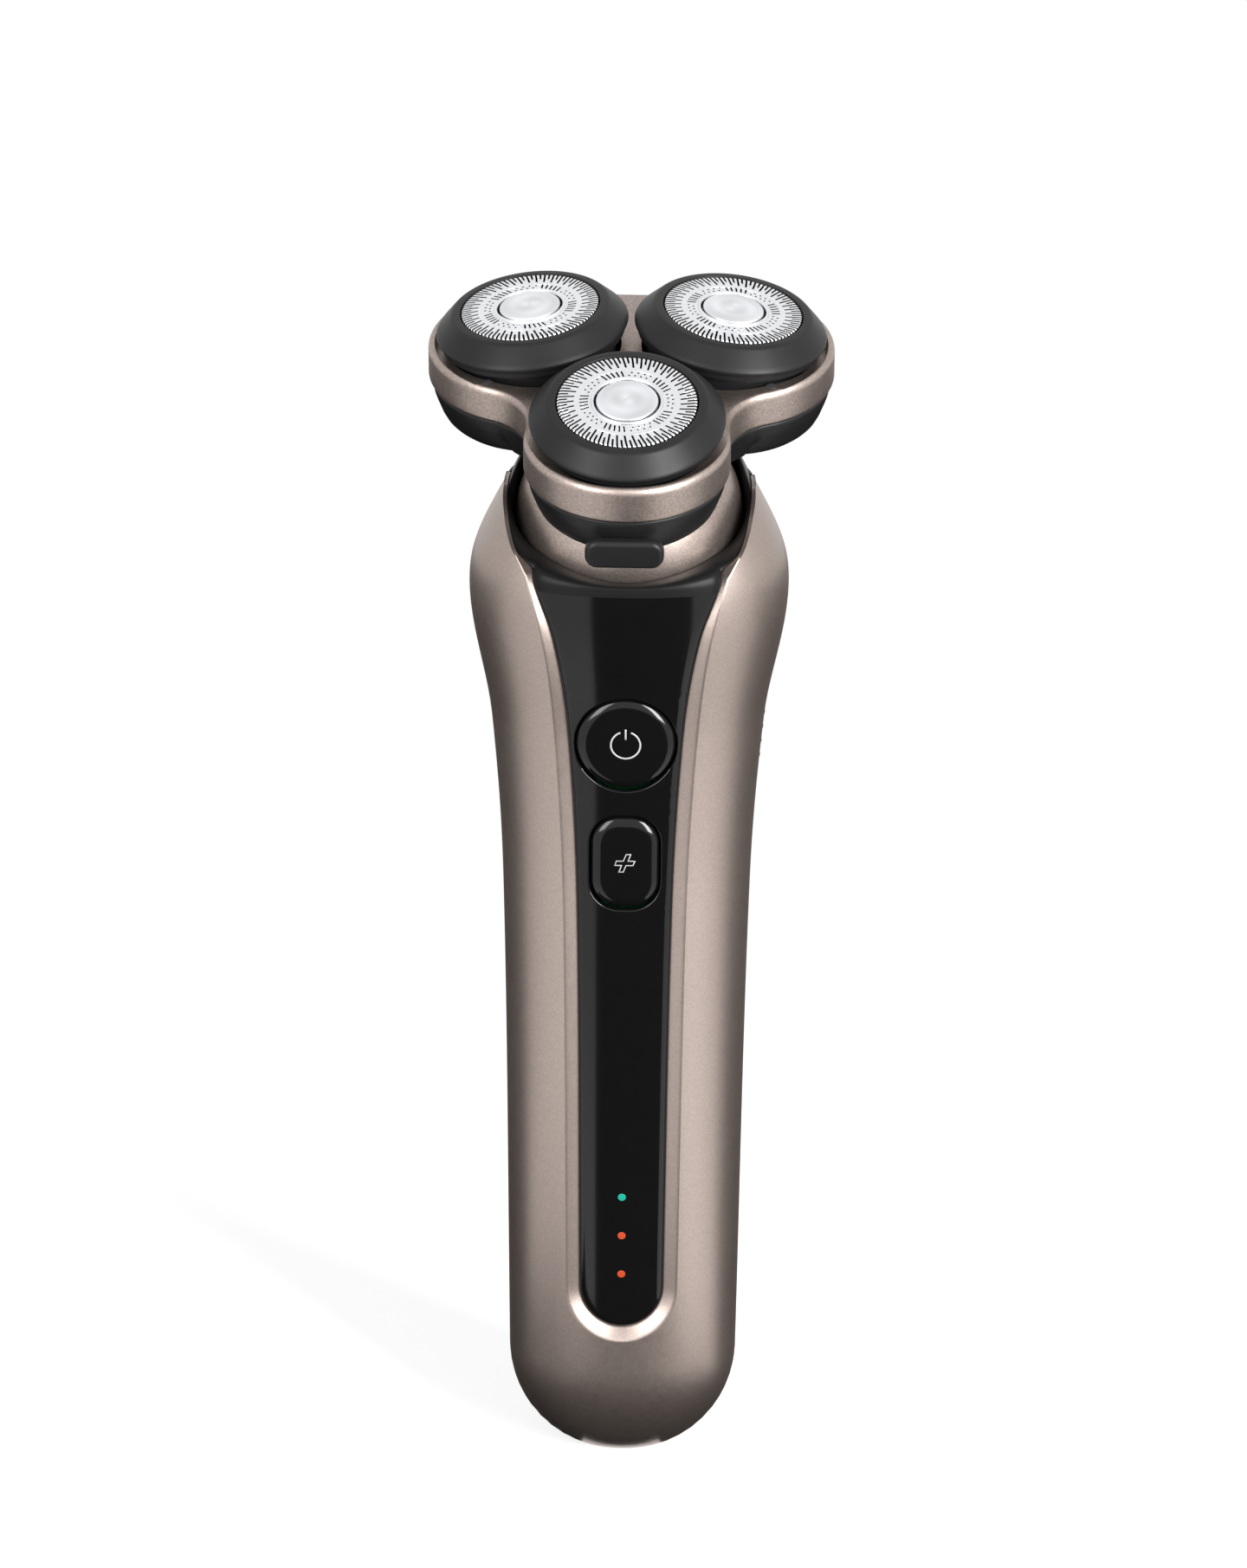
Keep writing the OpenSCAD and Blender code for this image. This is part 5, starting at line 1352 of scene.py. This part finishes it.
class SHAVER_OT_keys(bpy.types.Operator):
    """Power key and boost key with their signs"""

    bl_idname = "shaver.keys"
    bl_label = "Keys"

    # Inset and height of a key's shoulders, in millimetres.
    shoulders = ((1.3, 0.05), (0.35, -0.38), (0.0, -1.05), (0.0, -1.6))
    # Rounding of the shoulders and its steps.
    key_rounding, key_steps = 0.55, 6
    # Radius, length and depth of the middle of the power key's plunger.
    plunger = (0.0016, 0.002, 0.0026)
    # Width of each sign's strokes, and its height above the key.
    power_stroke, power_lift = 0.00027, 0.00001
    boost_stroke, boost_lift = 0.00014, 0.00003

    def execute(self, context):
        scene = context.scene
        shape, keys = Handle(scene.shaver_handle), scene.shaver_keys
        power, boost = shape.on_panel(keys.power_height), shape.on_panel(keys.boost_height)
        self.power_key(keys, power)
        self.boost_key(keys, boost)
        self.power_sign(power)
        self.boost_sign(boost)
        return {"FINISHED"}

    def power_key(self, keys, place):
        radius = keys.power_radius * 1000
        profile = [(0, -0.05), *((radius - inset, z) for inset, z in self.shoulders)]
        bm = bmesh.new()
        profile = [*rounded(profile, self.key_rounding, self.key_steps), (0, -1.6)]
        spun(bm, profile, place, 128)
        plunger_radius, plunger_length, depth = self.plunger
        rod(bm, moved(place, 0, 0, -depth), plunger_radius, plunger_length)
        piece("power_key", bm, "gloss_black", "power_key", ("power_button",), 50)

    def boost_key(self, keys, place):
        profile = from_mm(rounded(self.shoulders, self.key_rounding, self.key_steps))[::-1]
        around, top_rows = 144, 7

        def spot(i, j):
            angle = 2 * pi * (i % around) / around
            inset, z = profile[min(j, len(profile) - 1)]
            half_width, half_length = keys.boost_width / 2, keys.boost_length / 2
            reach = pill_reach(angle, half_width - inset, half_length - inset)
            if j >= len(profile):
                share = 1 - (j - len(profile) + 1) / top_rows
                reach *= share
                z -= 0.00004 * (1 - share)
            return place @ polar(reach, angle, z)

        bm = bmesh.new()
        sheet(bm, around + 1, len(profile) + top_rows, spot)
        joined(bm, fill=True)
        piece("boost_key", bm, "gloss_black", "boost_key", ("boost_button",), 50)

    def power_sign(self, place):
        radius, gap = 0.00222, radians(21)
        path = [polar(radius, a) for a in steps_between(pi / 2 + gap, pi * 5 / 2 - gap, 72, 0)]
        bar = [(0.0, y) for y in steps_between(0.0009, 0.00262, 4, 0)]
        place = moved(place, 0, 0, self.power_lift)
        self.sign("power_sign", [path, bar], self.power_stroke, place, "power_key")

    def boost_sign(self, place):
        arm, half, slant = 0.00033, 0.00134, 0.42
        corners = [
            (-arm, half), (arm, half), (arm, arm), (half, arm), (half, -arm), (arm, -arm),
            (arm, -half), (-arm, -half), (-arm, -arm), (-half, -arm), (-half, arm), (-arm, arm),
        ]
        path = [(1.04 * x + slant * y, y * 1.08) for x, y in corners]
        place = moved(place, 0, 0, self.boost_lift)
        self.sign("boost_sign", [path], self.boost_stroke, place, "boost_key", True)

    @staticmethod
    def sign(name, paths, stroke, place, body, closed=False):
        """Thin raised strokes along paths."""
        bm = bmesh.new()
        for path in paths:
            points = [Vector(point[:2]) for point in path]
            count = len(points)

            def spot(i, j, points=points, count=count):
                here = points[i % count]
                before, after = points[(i - 1) % count], points[(i + 1) % count]
                if not closed and i == 0:
                    before = 2 * here - after
                if not closed and i == count - 1:
                    after = 2 * here - before
                one, two = (here - before).normalized(), (after - here).normalized()
                normal = Vector((-(one + two).y, (one + two).x)).normalized()
                shift = normal * (stroke / 2 / max(normal.dot(Vector((-one.y, one.x))), 0.3))
                return (here - shift if j else here + shift).to_3d()

            sheet(bm, count + closed, 2, spot)
        joined(bm, place, inside=lambda middle: Vector((middle.x, middle.y, -1)), merge=1e-8)
        thicken(piece(name, bm, "gloss_black", body, finish=finishes()["sign"]), 0.00002)


class SHAVER_OT_lights(bpy.types.Operator):
    """Three round indicator lenses near the foot of the panel"""

    bl_idname = "shaver.lights"
    bl_label = "Indicator Lights"

    def execute(self, context):
        scene = context.scene
        shape, keys = Handle(scene.shaver_handle), scene.shaver_keys
        radius = keys.light_radius * 1000
        profile = [(0, 0.03), (radius * 0.7, 0.025), (radius, -0.05), (radius, -0.3)]
        profile = [*rounded(profile, 0.12, 4), (0, -0.3)]
        for number, finish in enumerate(("charge", "charge", "ready")):
            bm = bmesh.new()
            place = shape.on_panel(keys.light_height + number * keys.light_pitch)
            spun(bm, profile, place, 48)
            lit = finishes()[finish]
            piece(f"indicator_{number + 1}", bm, "light_lens", "handle", (), 50, lit)
        return {"FINISHED"}


# ---- Finish of the frame, stage


class SHAVER_OT_finishes(bpy.types.Operator):
    """Gives every part of the frame the finish of its material slot"""

    bl_idname = "shaver.finishes"
    bl_label = "Finish Frame"

    def execute(self, context):
        finish = finishes()
        slots = {part["node"]: part["material_slot"] for part in frame["record"]["subparts"]}
        for name, obj in frame["nodes"].items():
            obj.data.materials.clear()
            slot = "taupe_coarse" if name == "neck_ball" else slots[name]
            obj.data.materials.append(finish[slot])
        return {"FINISHED"}


class SHAVER_OT_stage(bpy.types.Operator):
    """Sets the floor, the soft lamps and the camera"""

    bl_idname = "shaver.stage"
    bl_label = "Studio"

    # Corners of the black cloths that lie on the floor, seen only in reflections.
    flags = {
        "front": ((-0.02, -0.07), (0.045, -0.07), (0.56, -0.9), (-0.26, -0.9)),
        "foot": ((-0.08, -0.07), (0.045, -0.07), (0.045, -0.0065), (-0.08, -0.0065)),
        "right": ((0.0065, -0.0065), (0.6, -0.0065), (0.6, 0.6), (0.0065, 0.6)),
        "left": ((-0.6, -0.0065), (-0.0065, -0.0065), (-0.0065, 0.6), (-0.6, 0.6)),
        "rear": ((-0.0065, 0.0065), (0.0065, 0.0065), (0.0065, 0.6), (-0.0065, 0.6)),
    }
    # Distances between which the floor's shadows fade to plain white.
    shadow_near, shadow_far = 0.05, 0.26
    # Glow and grey of the floor seen near the object, and colour of the floor's bounced light.
    glow, matt, bounce = 0.66, (0.55, 0.55, 0.55, 1), (0.08, 0.078, 0.076, 1)
    # Strength of the backdrop as a light, and as it is seen.
    backdrop = (0.28, 1.0)
    # Place, size and power of each lamp.
    lamps = {
        "key": ((0.6, -0.71, 0.44), (0.34, 0.7), 20.0),
        "fill": ((-0.55, -0.75, 0.46), (0.4, 0.7), 8.0),
    }
    target = Vector((0, 0, 0.11))
    # Angles of the camera and its distance from the target.
    elevation, azimuth, roll = radians(20), radians(1.2), radians(0.5)
    distance = 1.1
    # Focal length and height of the view in one unit, height of the sensor in millimetres.
    focal, view_height, sensor, shift = 8290, 1811, 24, -0.0025

    def execute(self, context):
        scene = context.scene
        ground = cad_box[0][2]
        self.plate("floor", ((-3, -3), (3, -3), (3, 3), (-3, 3)), ground, self.floor_finish())
        cloth = Finish("flag_cloth", (0.003, 0.003, 0.003), 0.9, Specular_IOR_Level=0.0).material
        for name, corners in self.flags.items():
            flag = self.plate(f"flag_{name}", corners, ground + 0.0003, cloth)
            flag.visible_camera = flag.visible_shadow = flag.visible_diffuse = False
        self.world(scene)
        for name, (place, size, power) in self.lamps.items():
            self.lamp(name, place, size, power)
        self.camera(scene)
        return {"FINISHED"}

    @staticmethod
    def plate(name, corners, height, finish):
        """Flat stage piece at a height."""
        bm = bmesh.new()
        bmesh.ops.contextual_create(bm, geom=[bm.verts.new((*spot, height)) for spot in corners])
        plate = mesh_object(name, bm)
        plate.data.materials.append(finish)
        return plate

    @staticmethod
    def seen(tree):
        """1 for rays from the camera, reflections and clear materials, 0 for bounced light."""
        rays = add_node(tree, "LightPath", output=None)
        pair = {0: rays["Is Camera Ray"], 1: rays["Is Glossy Ray"]}
        direct = add_node(tree, "Math", pair, operation="MAXIMUM")
        pair = {0: direct, 1: rays["Is Transmission Ray"]}
        return add_node(tree, "Math", pair, operation="MAXIMUM")

    def floor_finish(self):
        """Pale floor that keeps shadows near the object and is plain white farther off."""
        material = bpy.data.materials.new("pale_floor")
        material.use_nodes = True
        tree = material.node_tree
        tree.nodes.clear()
        place = add_node(tree, "TexCoord", output="Object")
        far = add_node(tree, "VectorMath", {0: place}, "Value", operation="LENGTH")
        span = {"Value": far, "From Min": self.shadow_near, "From Max": self.shadow_far}
        fade = add_node(tree, "MapRange", span, interpolation_type="SMOOTHSTEP")
        glow = add_node(tree, "Emission", {"Strength": self.glow})
        white = add_node(tree, "Emission", {"Strength": 1.0})
        matt = add_node(tree, "BsdfDiffuse", {"Color": self.matt})
        bounce = add_node(tree, "BsdfDiffuse", {"Color": self.bounce})
        near = add_node(tree, "AddShader", {0: matt, 1: glow})
        shown = add_node(tree, "MixShader", {0: fade, 1: near, 2: white})
        either = add_node(tree, "MixShader", {0: self.seen(tree), 1: bounce, 2: shown})
        add_node(tree, "OutputMaterial", {"Surface": either}, None)
        return material

    def world(self, scene):
        """White backdrop that lights the object softly."""
        world = bpy.data.worlds.new("studio")
        world.use_nodes = True
        tree = world.node_tree
        sockets = tree.nodes["Background"].inputs
        low, high = self.backdrop
        level = {"Value": self.seen(tree), "To Min": low, "To Max": high}
        tree.links.new(add_node(tree, "MapRange", level), sockets["Strength"])
        sockets["Color"].default_value = (1, 1, 1, 1)
        scene.world = world

    def lamp(self, name, place, size, power):
        """Soft lamp turned to the object."""
        light = bpy.data.lights.new(name, "AREA")
        light.shape = "RECTANGLE"
        light.size, light.size_y = size
        light.energy = power
        lamp = bpy.data.objects.new(name, light)
        lamp.location = place
        lamp.rotation_euler = (self.target - Vector(place)).to_track_quat("-Z", "Y").to_euler()
        bpy.context.scene.collection.objects.link(lamp)

    def camera(self, scene):
        view = bpy.data.cameras.new("camera")
        view.sensor_fit = "VERTICAL"
        view.sensor_height = self.sensor
        view.lens = self.sensor * self.focal / self.view_height
        view.shift_x = self.shift
        camera = bpy.data.objects.new("camera", view)
        away = round_handle(cos(self.elevation), self.azimuth, sin(self.elevation))
        facing = (-away).to_track_quat("-Z", "Y").to_matrix()
        camera.location = self.target + away * self.distance
        camera.rotation_euler = (facing @ Matrix.Rotation(self.roll, 3, "Z")).to_euler()
        scene.collection.objects.link(camera)
        scene.camera = camera
        scene.view_settings.view_transform = "Standard"


class SHAVER_PT_panel(bpy.types.Panel):
    """Sidebar panel that lists the steps"""

    bl_idname = "SHAVER_PT_panel"
    bl_label = "Rotary Shaver"
    bl_space_type = "VIEW_3D"
    bl_region_type = "UI"
    bl_category = "Shaver"

    def draw(self, context):
        for step in STEPS:
            self.layout.operator(step.bl_idname)


STEPS = (
    SHAVER_OT_finishes, SHAVER_OT_casing, SHAVER_OT_fascia, SHAVER_OT_rear, SHAVER_OT_head,
    SHAVER_OT_latch, SHAVER_OT_rings, SHAVER_OT_guards, SHAVER_OT_keys, SHAVER_OT_lights,
    SHAVER_OT_stage,
)
GROUPS = {
    "shaver_handle": HandleSettings,
    "shaver_neck": NeckSettings,
    "shaver_head": HeadSettings,
    "shaver_keys": KeySettings,
    "shaver_finish": FinishSettings,
}


def register():
    for name, group in GROUPS.items():
        bpy.utils.register_class(group)
        setattr(bpy.types.Scene, name, PointerProperty(type=group))
    for step in STEPS:
        bpy.utils.register_class(step)
    bpy.utils.register_class(SHAVER_PT_panel)


def unregister():
    bpy.utils.unregister_class(SHAVER_PT_panel)
    for step in reversed(STEPS):
        bpy.utils.unregister_class(step)
    for name, group in reversed(GROUPS.items()):
        delattr(bpy.types.Scene, name)
        bpy.utils.unregister_class(group)


def main():
    register()
    for step in STEPS:
        getattr(bpy.ops.shaver, step.bl_idname.split(".")[1])()


if __name__ == "__main__":
    main()
